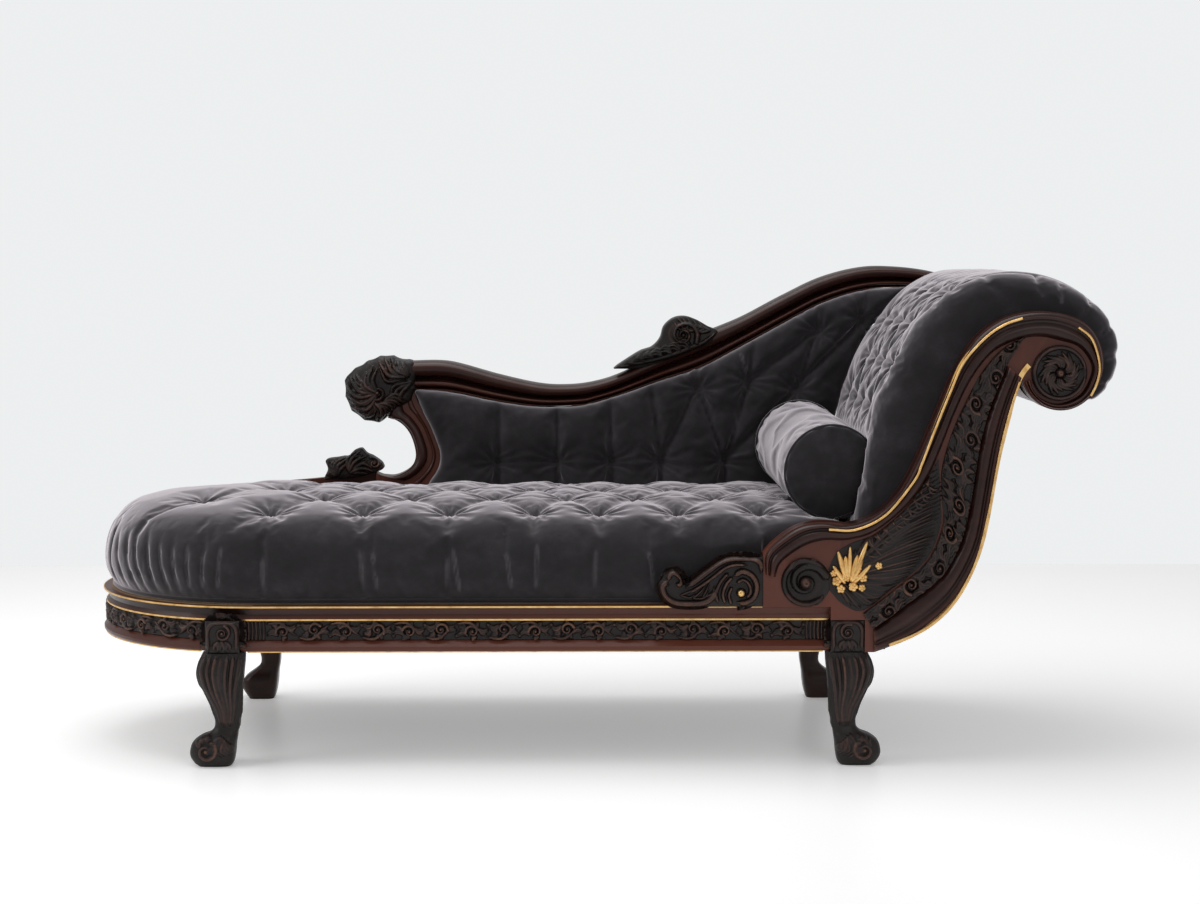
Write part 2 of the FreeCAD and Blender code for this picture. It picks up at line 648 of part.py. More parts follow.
def offset_run(points, distance):
    """Points moved sideways, to the left of the way they run."""
    moved = []
    for i, (x, z) in enumerate(points):
        before = points[max(i - 1, 0)]
        after = points[min(i + 1, len(points) - 1)]
        dx = after[0] - before[0]
        dz = after[1] - before[1]
        length = math.hypot(dx, dz)
        moved.append((x - dz / length * distance, z + dx / length * distance))
    return moved


# Side and crown of the seat pad: distance inside the rail face, height above the rails as a share of the crown
seat_profile = ((7.0, 0.017), (-7.0, 0.2), (-10.0, 0.42), (-4.0, 0.62), (12.0, 0.76), (40.0, 0.855),
                (90.0, 0.93), (160.0, 0.975), (240.0, 1.0))


def seat_profile_point(inset, share):
    if inset < 0:
        inset = inset * seat_side_bulge / 10.0
    return inset, rail_top + share * seat_crown


def seat_height(y, x):
    """Height of the untufted seat pad at a place."""
    edge = rail_half_depth - math.hypot(y, max(round_x - x, 0.0))
    levels = [seat_profile_point(inset, share) for inset, share in seat_profile[4:]]
    for (e0, z0), (e1, z1) in zip(levels, levels[1:]):
        if edge < e1:
            return z0 + (z1 - z0) * (edge - e0) / (e1 - e0)
    return levels[-1][1]


def tuft(place, up):
    """Room that a button pulls out of a pad: a cone that opens outwards."""
    base = place - up * tuft_depth
    height = tuft_depth + 12.0
    wide = button_radius + (tuft_radius - button_radius) * height / tuft_depth
    return Part.makeCone(button_radius, wide, height, base, up)


def fold(start, end, up_start, up_end):
    """Groove sewn from one button to the next."""
    along = (end - start).normalize()
    up = (up_start + up_end).normalize()
    across = along.cross(up).normalize()
    rise = 16.0
    wide = fold_half_width * (fold_depth + rise) / fold_depth
    points = [start - up * fold_depth, start + up * rise + across * wide, start + up * rise - across * wide]
    return Part.Face(Part.makePolygon(points + [points[0]])).extrude(end - start)


def button(place, up):
    """Covered button at the bottom of its tuft: a short drum with a domed top."""
    base = place - up * tuft_depth
    drum = Part.makeCylinder(button_radius - 1.0, button_height * 0.5, base, up)
    return drum.fuse(Part.makeCone(button_radius - 1.0, button_radius * 0.45, button_height * 0.5,
                                   base + up * (button_height * 0.5), up)).removeSplitter()


def bolster_axis():
    a = v(head_x + bolster_front[0], bolster_front[1], rail_top + bolster_front[2])
    b = v(head_x + bolster_rear[0], bolster_rear[1], rail_top + bolster_rear[2])
    return a, b


def bolster_hollow():
    """Room that the bolster presses into the pads round it."""
    a, b = bolster_axis()
    along = (b - a).normalize()
    length = (b - a).Length
    reach = 16.0
    return Part.makeCylinder(bolster_radius + 0.5 + bolster_gap, length + 2 * reach, a - along * reach, along)


def build_bolster():
    a, b = bolster_axis()
    along = (b - a).normalize()
    length = (b - a).Length
    r = bolster_radius
    corner = bolster_corner
    crown = bolster_crown
    flat = r - corner
    ball = (flat * flat + crown * crown) / (2 * crown)
    rise = crown - ball + math.sqrt(ball * ball - flat * flat / 4)
    turn = corner * (1 - math.sqrt(0.5))
    outline = [
        edge_through([v(0, -crown, 0), v(flat / 2, -rise, 0), v(flat, 0, 0)]),
        edge_through([v(flat, 0, 0), v(r - turn, turn, 0), v(r, corner, 0)]),
        edge_through([v(r, corner, 0), v(r, length - corner, 0)]),
        edge_through([v(r, length - corner, 0), v(r - turn, length - turn, 0), v(flat, length, 0)]),
        edge_through([v(flat, length, 0), v(flat / 2, length + rise, 0), v(0, length + crown, 0)]),
        edge_through([v(0, length + crown, 0), v(0, -crown, 0)])]
    body = Part.Face(Part.Wire(outline)).revolve(v(0, 0, 0), v(0, 1, 0), 360)
    rings = []
    for y in (corner * 0.6, length - corner * 0.6):
        rings.append(Part.makeTorus(r - piping_radius + 0.4, piping_radius, v(0, y, 0), v(0, 1, 0)).cut(body))
    lean = FreeCAD.Rotation(v(0, 1, 0), along)
    for shape in [body] + rings:
        shape.Placement = FreeCAD.Placement(a, lean)
    save("bolster", body)
    save("bolster_piping", *rings)


def seat_buttons_and_folds():
    """Places of the seat buttons, and the pairs of neighbours that a fold joins."""
    places = []
    for y, columns in seat_rows:
        row = []
        for x in columns:
            x += head_x
            hidden = x > scroll_inner_x and y > back_front_y - back_pad_front - 30
            inside = math.hypot(y, max(round_x - x, 0.0)) < rail_half_depth - 62
            if inside and not hidden:
                row.append(v(x, y, seat_height(y, x)))
        places.append(row)
    pairs = []
    for row, after in zip(places, places[1:]):
        for p in row:
            near = sorted(after, key=lambda q: abs(q.x - p.x))[:2]
            pairs += [(p, q) for q in near if abs(q.x - p.x) < 135]
    for p in places[0]:
        pairs.append((p, v(p.x, -rail_half_depth + 12.0, seat_height(-rail_half_depth + 12.0, p.x))))
    return [p for row in places for p in row], pairs


def build_seat_pad():
    wires = []
    for inset, share in seat_profile:
        inset, z = seat_profile_point(inset, share)
        wires.append(seat_wire(inset, z, seat_end_x))
    pad = Part.makeLoft(wires, True, False)
    up = v(0, 0, 1)
    places, pairs = seat_buttons_and_folds()
    cutters = [tuft(p, up) for p in places]
    cutters += [fold(p, q, up, up) for p, q in pairs]
    clear = pad_gap
    cutters.append(bolster_hollow())
    cutters.append(box(arm_tip_x, far, -far, -rail_half_depth - arm_scroll_gap + clear, 0, far))
    cutters.append(box(arm_x - clear, far, -far, -side_inner_y + clear, 0, far))
    cutters.append(box(arm_x - clear, far, side_inner_y - clear, far, 0, far))
    cutters.append(box(arm_tip_x, far, rail_half_depth + arm_scroll_gap - clear, far, 0, far))
    cutters.append(box(wing_left_x, far, wing_y - clear, far, 0, far))
    cutters.append(box(scroll_left_x, far, back_front_y - clear, far, 0, far))
    cutters.append(box(scroll_inner_x, far, back_front_y - back_pad_front - clear, far, 0, far))
    welt_top = pad_bottom + 2 * welt_radius + pad_gap
    ring = seat_slab(-30.0, rail_bottom, welt_top, far).cut(
        seat_slab(2 * welt_radius + 2.0 + pad_gap, rail_bottom, welt_top, far))
    cutters.append(ring)
    save("seat_pad", pad.cut(cutters))
    save("seat_buttons", *[button(p, up) for p in places])


# Buttons of the back rest from the head rail and the rail top, lower row first
back_lower_buttons = ((-695, 208), (-577, 209), (-462, 209), (-362, 206), (-231, 212))
back_upper_buttons = ((-289, 360), (-181, 374), (-85, 362), (-43, 476), (49, 496))
back_fold_length = 160.0       # of a fold that runs from a button to the edge of the pad
back_folds = ((0, -1), (1, -1), (2, -1), (3, 5), (4, 5), (4, 6), (6, 8), (7, 8), (7, 9), (8, -1), (9, -1),
              (5, -1))


def build_back_pad():
    back = back_front_y + back_pad_tuck
    swell = back_front_y - back_pad_front
    runs = back_opening(pad_gap, rail_top + hessian_thickness)
    pad = upright_slab(runs, swell + back_pad_round, back)
    middle = v(head_x - 320, 0, rail_top + 240)
    flat = upright_wire(runs, 0)
    crown = flat.copy()
    shrink = FreeCAD.Matrix()
    shrink.move(-middle)
    shrink.scale(0.965, 1.0, 0.94)
    shrink.move(middle)
    crown = crown.transformGeometry(shrink)
    base = flat.copy()
    base.translate(v(0, swell + back_pad_round, 0))
    crown.translate(v(0, swell, 0))
    pad = pad.fuse(Part.makeLoft([base, crown], True, True))
    forward = v(0, -1, 0)
    places = [v(head_x + x, swell, rail_top + z) for x, z in back_lower_buttons + back_upper_buttons]
    cutters = [tuft(p, forward) for p in places]
    for a, b in back_folds:
        start = places[a]
        end = places[b] if b >= 0 else v(start.x + 6.0, swell, start.z + back_fold_length)
        cutters.append(fold(start, end, forward, forward))
    for p in places[:len(back_lower_buttons)]:
        cutters.append(fold(v(p.x, swell, p.z - back_fold_length), p, forward, forward))
    cutters.append(bolster_hollow())
    cutters.append(knuckle_slab())
    save("back_pad", pad.cut(cutters))
    save("back_buttons", *[button(p, forward) for p in places])


# Button rows of the head pad: distance up its face and places across
head_rows = ((150.0, (-215.0, -110.0, 0.0, 110.0)), (235.0, (-165.0, -55.0, 55.0, 165.0)),
             (320.0, (-215.0, -110.0, 0.0, 110.0)), (405.0, (-165.0, -55.0, 55.0, 165.0)),
             (490.0, (-215.0, -110.0, 0.0, 110.0)))


def bolster_room(place):
    """Whether a button stays clear of the bolster."""
    a, b = bolster_axis()
    return place.distanceToLine(a, b - a) > bolster_radius + tuft_depth + button_radius


def head_pad_wire(inset, y):
    outer = offset_run(from_head(head_pad_run), -inset)
    outer[0] = (outer[0][0], rail_top + 125)
    x, z = roll_middle()
    r = roll_radius + cover_thickness + 0.3
    support = from_head(head_support_run)

    def on_roll(angle):
        a = math.radians(angle)
        return x + r * math.cos(a), z + r * math.sin(a)
    roll_runs = [[on_roll(-60), on_roll(-4), on_roll(51)], [on_roll(51), on_roll(105), on_roll(158)]]
    back = [on_roll(158)] + support[-2::-1]
    runs = [outer, [outer[-1], on_roll(-60)]] + roll_runs + [back, [back[-1], outer[0]]]
    return upright_wire(runs, y)


def build_head_pad():
    end = side_inner_y - pad_gap
    stations = ((-end, 14.0), (-end + 26.0, 0.0), (end - 26.0, 0.0), (end, 14.0))
    wires = [head_pad_wire(inset, y) for y, inset in stations]
    pad = Part.makeLoft(wires, True, True)
    line = edge_through([v(x, 0, z) for x, z in from_head(head_pad_run)])
    rows = []
    for distance, across in head_rows:
        t = line.getParameterByLength(distance)
        p = line.valueAt(t)
        d = line.tangentAt(t)
        up = v(-d.z, 0, d.x)
        rows.append([(v(p.x, y, p.z), up) for y in across if bolster_room(v(p.x, y, p.z))])
    cutters = [tuft(p, up) for row in rows for p, up in row]
    for row, after in zip(rows, rows[1:]):
        for p, up in row:
            cutters += [fold(p, q, up, up_q) for q, up_q in after if abs(q.y - p.y) < 90]
    cutters.append(bolster_hollow())
    cutters.append(box(-far, head_x + 326, back_front_y - pad_gap, far, 0, far))
    save("head_pad", pad.cut(cutters))
    save("head_buttons", *[button(p, up) for row in rows for p, up in row])


def build_seat_springing():
    inner = rail_half_depth - rail_thickness
    top = rail_bottom
    straps = []
    columns = [head_x + x for x in web_columns]
    for x in columns:
        reach = math.sqrt(inner * inner - max(round_x - x, 0.0) ** 2) + rail_thickness * 0.6
        straps.append(box(x - web_width / 2, x + web_width / 2, -reach, reach, top - web_thickness, top))
    for y in web_rows:
        left = round_x - math.sqrt(inner * inner - (abs(y) + web_width / 2) ** 2)
        straps.append(box(left, head_x, y - web_width / 2, y + web_width / 2, top, top + web_thickness))
    save("seat_webbing", *straps)
    base = top + web_thickness
    springs = []
    spring = spring_sleeve(base)
    for x in columns:
        for y in web_rows:
            copy = spring.copy()
            copy.translate(v(x, y, base))
            springs.append(copy)
    save("seat_springs", *springs)
    hessian = seat_slab(9.0, rail_top, pad_bottom, head_x + head_rail_thickness)
    hessian = hessian.cut([box(arm_x, far, -far, -side_inner_y, 0, far),
                           box(arm_x, far, side_inner_y, far, 0, far),
                           box(wing_left_x, far, wing_y, far, 0, far),
                           box(scroll_left_x, far, back_front_y, far, 0, far)])
    save("seat_hessian", hessian)
    low = top - web_thickness
    save("dust_cover", seat_slab(dust_inset, low - dust_thickness, low, head_x - web_thickness))


def spring_sleeve(base):
    """Plain solid of one coil spring between the webbing and the hessian: its coils as a sleeve."""
    radius = spring_radius + spring_wire / 2
    height = rail_top - base
    return Part.makeCylinder(radius, height).cut(Part.makeCylinder(radius - spring_wire, height))


def build_welt():
    centre = rail_half_depth - welt_radius - 2.0
    z = rail_top + hessian_thickness + welt_radius
    section = Part.Face(Part.Wire(Part.Circle(v(round_x, -centre, z), v(1, 0, 0), welt_radius).toShape()))
    front = section.extrude(v(arm_x - 1.0 - round_x, 0, 0))
    turn = section.revolve(v(round_x, 0, 0), v(0, 0, 1), -180)
    wing_left = post_x + wing_run[1][0] - pad_gap
    welt = front.fuse(turn).cut(box(wing_left, head_x, 0, rail_half_depth, rail_bottom, z + welt_radius))
    save("seat_welt", welt)


os.makedirs("parts", exist_ok=True)
build_seat_frame()
build_rail_mouldings()
build_legs()
build_scrolled_sides()
build_side_carvings()
build_head_frame()
build_back_frame()
build_seat_pad()
build_back_pad()
build_head_pad()
build_bolster()
build_seat_springing()
build_welt()
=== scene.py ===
# Fainting couch: carved mahogany frame, deep buttoned charcoal velvet, a bolster at the rolled head end
import bmesh
import bpy
import math
import random
import numpy as np
from mathutils import Matrix, Vector
from mathutils.bvhtree import BVHTree


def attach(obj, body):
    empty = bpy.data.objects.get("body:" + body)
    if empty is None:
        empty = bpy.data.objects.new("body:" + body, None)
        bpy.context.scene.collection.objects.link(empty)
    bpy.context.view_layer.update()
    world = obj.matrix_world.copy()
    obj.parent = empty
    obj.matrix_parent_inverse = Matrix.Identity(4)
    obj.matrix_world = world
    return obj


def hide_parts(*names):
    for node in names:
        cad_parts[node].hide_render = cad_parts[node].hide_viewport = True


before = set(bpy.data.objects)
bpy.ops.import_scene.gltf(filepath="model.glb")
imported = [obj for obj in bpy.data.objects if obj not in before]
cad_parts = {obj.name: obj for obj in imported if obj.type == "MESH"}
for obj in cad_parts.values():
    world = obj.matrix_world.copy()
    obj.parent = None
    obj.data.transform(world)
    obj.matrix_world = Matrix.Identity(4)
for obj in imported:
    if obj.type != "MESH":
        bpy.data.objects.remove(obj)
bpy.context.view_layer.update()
bpy.ops.object.select_all(action="DESELECT")
print("frame loaded")

# Main lines of the couch in metres, as the frame has them: X foot to head, Y front to back, Z up
couch = {
    "railFaceY": 0.310,        # centre line to the outer face of a seat rail
    "roundX": -0.6245,         # centre of the half round foot end
    "headX": 0.500,
    "railTop": 0.293,
    "padBottom": 0.296,
    "seatEndX": 0.452,
    "sideInnerY": 0.298,
    "postX": -0.313,
    "backFrontY": 0.255,
    "rollX": 0.831,
    "rollZ": 0.727,
}
mm = 0.001


def fromHead(points):          # points in mm from the head rail and the rail top, as (x, z) in metres
    return [(couch["headX"] + x * mm, couch["railTop"] + z * mm) for x, z in points]


def fromPost(points):
    return [(couch["postX"] + x * mm, couch["railTop"] + z * mm) for x, z in points]


def atHead(x, z):
    return fromHead([(x, z)])[0]


def atPost(x, z):
    return fromPost([(x, z)])[0]


def onOval(centre, angle, wide, high=None):    # a circle where only its radius is given
    return centre[0] + wide * math.cos(angle), centre[1] + (high or wide) * math.sin(angle)


# Stage, camera and light
studio = {
    "floorTone": 0.93,
    "floorGlow": 0.20,         # evens out the light over the floor
    "wallTone": (0.845, 0.862, 0.868),
    "floorFar": 2.25,          # where the floor ends behind the couch
    "floorNear": -9.0,
    "floorHalf": 12.0,
    "lensMm": 69.7,
    "cameraAt": (-0.0439, -4.4956, 0.9637),
    "cameraYaw": -0.7,         # degrees
    "cameraPitch": -5.34,
    "worldLight": 0.62,
    # name, place, aims at, size, watts
    "lamps": (("overhead", (-0.3, 0.3, 2.9), (0.0, 0.1, 0.3), 2.6, 52.0),
              ("leftSoft", (-2.8, -0.9, 1.9), (0.0, 0.0, 0.5), 1.6, 26.0),
              ("frontSoft", (1.6, -4.2, 2.2), (0.2, 0.0, 0.4), 2.2, 22.0)),
}


class Value:                   # wraps a socket, so that sums on it add their Math nodes
    def __init__(self, finish, socket):
        self.finish = finish
        self.socket = socket

    def math(self, operation, *others):
        return self.finish.add("ShaderNodeMath", {"operation": operation}, [self, *others])

    def __add__(self, other):
        return self.math("ADD", other)

    def __radd__(self, other):
        return self.math("ADD", other)

    def __mul__(self, other):
        return self.math("MULTIPLY", other)

    def __rmul__(self, other):
        return self.math("MULTIPLY", other)

    def __sub__(self, other):
        return self.math("SUBTRACT", other)

    def __rsub__(self, other):
        return self.finish.add("ShaderNodeMath", {"operation": "SUBTRACT"}, [other, self])

    def __pow__(self, other):
        return self.math("POWER", other)

    def clamped(self):
        return self.finish.add("ShaderNodeClamp", {}, [self])


class Finish:                  # one material and its nodes
    def __init__(self, name, **constants):
        self.material = bpy.data.materials.new(name)
        self.material.use_nodes = True
        self.nodes = self.material.node_tree.nodes
        self.links = self.material.node_tree.links
        self.shader = self.nodes["Principled BSDF"]
        for socket, value in constants.items():
            self.shader.inputs[socket.replace("_", " ")].default_value = value

    def add(self, kind, settings, values=(), output=0):
        node = self.nodes.new(kind)
        for key, value in settings.items():
            if key == "stops":
                self.setStops(node.color_ramp, value)
            else:
                setattr(node, key, value)
        pairs = values.items() if isinstance(values, dict) else enumerate(values)
        for key, value in pairs:
            if isinstance(value, Value):
                self.links.new(value.socket, node.inputs[key])
            else:
                node.inputs[key].default_value = value
        return Value(self, node.outputs[output])

    def setStops(self, ramp, stops):
        for place, colour in stops[len(ramp.elements):]:
            ramp.elements.new(place)
        for element, (place, colour) in zip(ramp.elements, stops):
            element.position = place
            element.color = (*colour, 1.0)

    def place(self, stretch=(1.0, 1.0, 1.0)):
        found = self.add("ShaderNodeTexCoord", {}, (), "Object")
        return self.add("ShaderNodeMapping", {}, {"Vector": found, "Scale": stretch})

    def noise(self, where, scale, detail=3.0, rough=0.5):
        return self.add("ShaderNodeTexNoise", {}, {"Vector": where, "Scale": scale, "Detail": detail,
                                                   "Roughness": rough}, "Fac")

    def ramp(self, value, stops):
        return self.add("ShaderNodeValToRGB", {"stops": stops}, [value], "Color")

    def blend(self, factor, first, second, kind="MIX"):
        return self.add("ShaderNodeMix", {"data_type": "RGBA", "blend_type": kind},
                        {0: factor, 6: first, 7: second}, 2)

    def bump(self, height, strength, distance, under=None):
        values = {"Height": height, "Strength": strength, "Distance": distance}
        if under:
            values["Normal"] = under
        return self.add("ShaderNodeBump", {}, values, "Normal")

    def feed(self, **sockets):
        for name, value in sockets.items():
            self.links.new(value.socket, self.shader.inputs[name.replace("_", " ")])
        return self.material


# painted sheen: base colour of the pile, dark seen straight on and lighter seen from the side
velvetPaintedSheen = ((0.10, (0.0056, 0.0051, 0.0056)), (0.36, (0.019, 0.0174, 0.019)),
               (0.55, (0.062, 0.057, 0.062)), (0.72, (0.185, 0.170, 0.184)), (0.92, (0.47, 0.432, 0.464)))


def velvetFinish():
    finish = Finish("charcoalVelvet", Sheen_Weight=1.0, Sheen_Roughness=0.34,
                    Sheen_Tint=(0.80, 0.755, 0.79, 1.0), Specular_IOR_Level=0.12)
    where = finish.place()
    brushed = finish.noise(finish.place((1.0, 0.7, 1.6)), 9.0, 4.0, 0.6)
    nap = finish.noise(where, 950.0, 2.0)
    ruffled = finish.noise(where, 46.0, 4.0, 0.62)
    tone = (brushed * 0.55 + ruffled * 0.3 + nap * 0.15).clamped()
    colour = finish.ramp(tone, ((0.30, (0.0085, 0.0078, 0.0085)), (0.52, (0.0155, 0.0142, 0.0155)),
                                (0.72, (0.031, 0.028, 0.031))))
    # painted sheen: the base colour is lightened where the velvet is seen at a slant, on top of the shader's
    # own sheen
    slant = finish.add("ShaderNodeLayerWeight", {}, {"Blend": 0.5}, "Facing")
    paintedSheen = finish.ramp(slant * 0.88 + tone * 0.12, velvetPaintedSheen)
    colour = finish.blend(1.0, colour, paintedSheen, "ADD")
    # painted highlight: the base colour is lightened along the fold edges marked in the mesh
    folded = finish.add("ShaderNodeAttribute", {"attribute_name": "folded"}, (), "Fac")
    colour = finish.blend((folded * (0.06 + 0.34 * ruffled)).clamped(), colour, (0.15, 0.137, 0.148, 1.0))
    pile = finish.bump(nap, 0.35, 0.0006)
    stroke = finish.bump(ruffled, 0.22, 0.0022, pile)
    return finish.feed(Base_Color=colour, Roughness=0.78 + 0.18 * nap, Normal=stroke)


def darkVelvetFinish():
    finish = Finish("velvetButtons", Sheen_Weight=0.8, Sheen_Roughness=0.38,
                    Sheen_Tint=(0.80, 0.755, 0.79, 1.0), Specular_IOR_Level=0.12)
    nap = finish.noise(finish.place(), 950.0, 2.0)
    colour = finish.ramp(nap, ((0.35, (0.012, 0.011, 0.012)), (0.68, (0.034, 0.031, 0.034))))
    return finish.feed(Base_Color=colour, Roughness=0.75 + 0.2 * nap, Normal=finish.bump(nap, 0.35, 0.0006))


def polishedFinish():
    finish = Finish("polishedMahogany", Specular_IOR_Level=0.18, Coat_Roughness=0.2, Coat_IOR=1.4)
    figure = finish.noise(finish.place((2.2, 9.0, 9.0)), 5.5, 5.0, 0.6)
    pores = finish.noise(finish.place((14.0, 190.0, 190.0)), 5.0, 3.0, 0.55)
    rub = finish.noise(finish.place(), 22.0, 4.0)
    worn = finish.add("ShaderNodeNewGeometry", {}, (), "Pointiness")
    edges = ((worn - 0.505) * 9.0).clamped()
    colour = finish.ramp(figure, ((0.30, (0.0085, 0.0028, 0.0022)), (0.52, (0.0180, 0.0050, 0.0034)),
                                  (0.75, (0.0300, 0.0078, 0.0048))))
    colour = finish.blend((pores * 0.5).clamped(), colour, (0.010, 0.004, 0.003, 1.0))
    colour = finish.blend(edges, colour, (0.105, 0.030, 0.018, 1.0))
    return finish.feed(Base_Color=colour, Roughness=0.30 + 0.16 * rub,
                       Coat_Weight=(0.38 - 0.25 * rub).clamped(),
                       Normal=finish.bump(pores, 0.10, 0.0006, finish.bump(rub, 0.06, 0.004)))


def carvedFinish():            # painted shade makes the hollows near black; the ridges are brown, partly rubbed by hands and partly painted highlight
    finish = Finish("carvedMahogany", Specular_IOR_Level=0.28, Coat_Roughness=0.25, Coat_IOR=1.35)
    raised = finish.add("ShaderNodeAttribute", {"attribute_name": "raised"}, (), "Fac")
    chips = finish.noise(finish.place(), 95.0, 4.0, 0.62)
    gouged = finish.noise(finish.place((1.0, 1.0, 0.45)), 240.0, 2.0, 0.5)
    tint = finish.noise(finish.place(), 16.0, 3.0)
    worn = finish.add("ShaderNodeNewGeometry", {}, (), "Pointiness")
    # painted shade and highlight: darker where the carving is low or hollow, lighter where it is proud or
    # sharp, with random chips and wear
    ridge = ((raised - 0.42) * 1.15 + (worn - 0.5) * 6.0 + (chips - 0.5) * 0.9).clamped()
    colour = finish.ramp(ridge, ((0.0, (0.0052, 0.0030, 0.0026)), (0.30, (0.0170, 0.0078, 0.0058)),
                                 (0.62, (0.0480, 0.0200, 0.0130)), (1.0, (0.1350, 0.0640, 0.0380))))
    colour = finish.blend((tint * 0.45).clamped(), colour, (0.014, 0.0066, 0.005, 1.0))
    rough = finish.bump(gouged, 0.35, 0.0014)
    return finish.feed(Base_Color=colour, Roughness=0.38 + 0.25 * chips, Coat_Weight=(0.3 * tint).clamped(),
                       Normal=finish.bump(chips, 0.45, 0.0026, rough))


def giltFinish():
    finish = Finish("gilding", Metallic=1.0, Specular_IOR_Level=0.6)
    worn = finish.noise(finish.place(), 60.0, 4.0, 0.6)
    fine = finish.noise(finish.place(), 420.0, 2.0)
    colour = finish.ramp(worn, ((0.25, (0.42, 0.235, 0.085)), (0.45, (0.70, 0.43, 0.16)),
                                (0.75, (0.86, 0.60, 0.27))))
    return finish.feed(Base_Color=colour, Roughness=0.26 + 0.22 * fine,
                       Normal=finish.bump(fine, 0.15, 0.0005))


def beechFinish():
    finish = Finish("frameBeech", Specular_IOR_Level=0.35)
    grain = finish.noise(finish.place((3.0, 60.0, 60.0)), 4.0, 4.0, 0.6)
    flecks = finish.noise(finish.place((40.0, 220.0, 220.0)), 3.0, 2.0)
    colour = finish.ramp(grain, ((0.3, (0.30, 0.19, 0.11)), (0.7, (0.47, 0.33, 0.21))))
    colour = finish.blend((flecks * 0.35).clamped(), colour, (0.22, 0.13, 0.075, 1.0))
    return finish.feed(Base_Color=colour, Roughness=0.55 + 0.2 * flecks,
                       Normal=finish.bump(flecks, 0.15, 0.0008))


def steelFinish():
    finish = Finish("springSteel", Metallic=1.0)
    scratch = finish.noise(finish.place((30.0, 30.0, 300.0)), 6.0, 3.0)
    colour = finish.ramp(scratch, ((0.3, (0.30, 0.30, 0.31)), (0.7, (0.52, 0.52, 0.53))))
    return finish.feed(Base_Color=colour, Roughness=0.28 + 0.25 * scratch)


def clothFinish(name, dark, pale, threads):   # plain woven cloth, such as webbing or a dust cover
    finish = Finish(name, Sheen_Weight=0.2, Specular_IOR_Level=0.2)
    where = finish.place()
    warp, weft = (finish.add("ShaderNodeTexWave", {"bands_direction": way},
                             {"Vector": where, "Scale": threads}, "Fac") for way in "XY")
    slub = finish.noise(finish.place((1.0, 12.0, 1.0)), 18.0, 3.0)
    weave = (warp * 0.5 + weft * 0.5).clamped()
    colour = finish.ramp((weave * 0.5 + slub * 0.5).clamped(), ((0.25, dark), (0.75, pale)))
    return finish.feed(Base_Color=colour, Roughness=0.8 + 0.15 * slub, Normal=finish.bump(weave, 0.4, 0.0008))


finishes = {
    "velvet": velvetFinish(),
    "buttons": darkVelvetFinish(),
    "polished": polishedFinish(),
    "carved": carvedFinish(),
    "gilt": giltFinish(),
    "beech": beechFinish(),
    "steel": steelFinish(),
    "jute": clothFinish("juteWebbing", (0.20, 0.14, 0.085), (0.42, 0.32, 0.20), 260.0),
    "lining": clothFinish("blackLining", (0.008, 0.008, 0.009), (0.028, 0.028, 0.030), 330.0),
}
print("finishes made")


def makeStage():
    bpy.ops.mesh.primitive_plane_add(size=1.0)
    floor = bpy.context.object
    floor.name = "floor"
    middleY = (studio["floorFar"] + studio["floorNear"]) / 2
    depth = studio["floorFar"] - studio["floorNear"]
    stretch = Matrix.Diagonal((2 * studio["floorHalf"], depth, 1.0, 1.0))
    floor.data.transform(Matrix.Translation((0.0, middleY, 0.0)) @ stretch)
    paint = Finish("floorPaint", Specular_IOR_Level=0.5, Emission_Color=(1.0, 1.0, 1.0, 1.0),
                   Emission_Strength=studio["floorGlow"])
    tone = studio["floorTone"]
    cloudy = paint.noise(paint.place(), 0.8, 3.0)
    colour = paint.ramp(cloudy, ((0.2, (tone, tone, tone * 1.004)),
                                 (0.8, (tone * 1.01, tone * 1.01, tone * 1.015))))
    floor.data.materials.append(paint.feed(Base_Color=colour, Roughness=0.30 + 0.1 * cloudy))
    world = bpy.data.worlds.new("studioAir")
    bpy.context.scene.world = world
    world.use_nodes = True
    nodes = world.node_tree.nodes
    links = world.node_tree.links
    nodes.clear()
    path = nodes.new("ShaderNodeLightPath")
    seen = nodes.new("ShaderNodeBackground")
    seen.inputs["Color"].default_value = (*studio["wallTone"], 1.0)
    light = nodes.new("ShaderNodeBackground")
    light.inputs["Strength"].default_value = studio["worldLight"]
    mixed = nodes.new("ShaderNodeMixShader")
    output = nodes.new("ShaderNodeOutputWorld")
    seenBy = nodes.new("ShaderNodeMath")
    seenBy.operation = "MAXIMUM"
    links.new(path.outputs["Is Camera Ray"], seenBy.inputs[0])
    links.new(path.outputs["Is Transmission Ray"], seenBy.inputs[1])
    links.new(seenBy.outputs[0], mixed.inputs[0])
    links.new(light.outputs[0], mixed.inputs[1])
    links.new(seen.outputs[0], mixed.inputs[2])
    links.new(mixed.outputs[0], output.inputs["Surface"])
    for name, at, aim, size, watts in studio["lamps"]:
        bpy.ops.object.light_add(type="AREA", location=at)
        lamp = bpy.context.object
        lamp.name = name
        lamp.data.size = size
        lamp.data.energy = watts
        lamp.rotation_euler = (Vector(aim) - Vector(at)).to_track_quat("-Z", "Y").to_euler()
    bpy.ops.object.camera_add(location=studio["cameraAt"])
    camera = bpy.context.object
    camera.rotation_euler = (math.radians(90 + studio["cameraPitch"]), 0.0, math.radians(studio["cameraYaw"]))
    camera.data.lens = studio["lensMm"]
    camera.data.sensor_width = 36.0
    bpy.context.scene.camera = camera
    bpy.context.scene.view_settings.view_transform = "Standard"


makeStage()
print("stage, camera and lamps set")


def deselect():
    if bpy.context.mode != "OBJECT":
        bpy.ops.object.mode_set(mode="OBJECT")
    bpy.ops.object.select_all(action="DESELECT")


def useOnly(piece):
    deselect()
    piece.select_set(True)
    bpy.context.view_layer.objects.active = piece
    return piece


def newPiece(name, points, faces):
    mesh = bpy.data.meshes.new(name)
    mesh.from_pydata([tuple(p) for p in points], [], faces)
    piece = bpy.data.objects.new(name, mesh)
    bpy.context.scene.collection.objects.link(piece)
    return useOnly(piece)


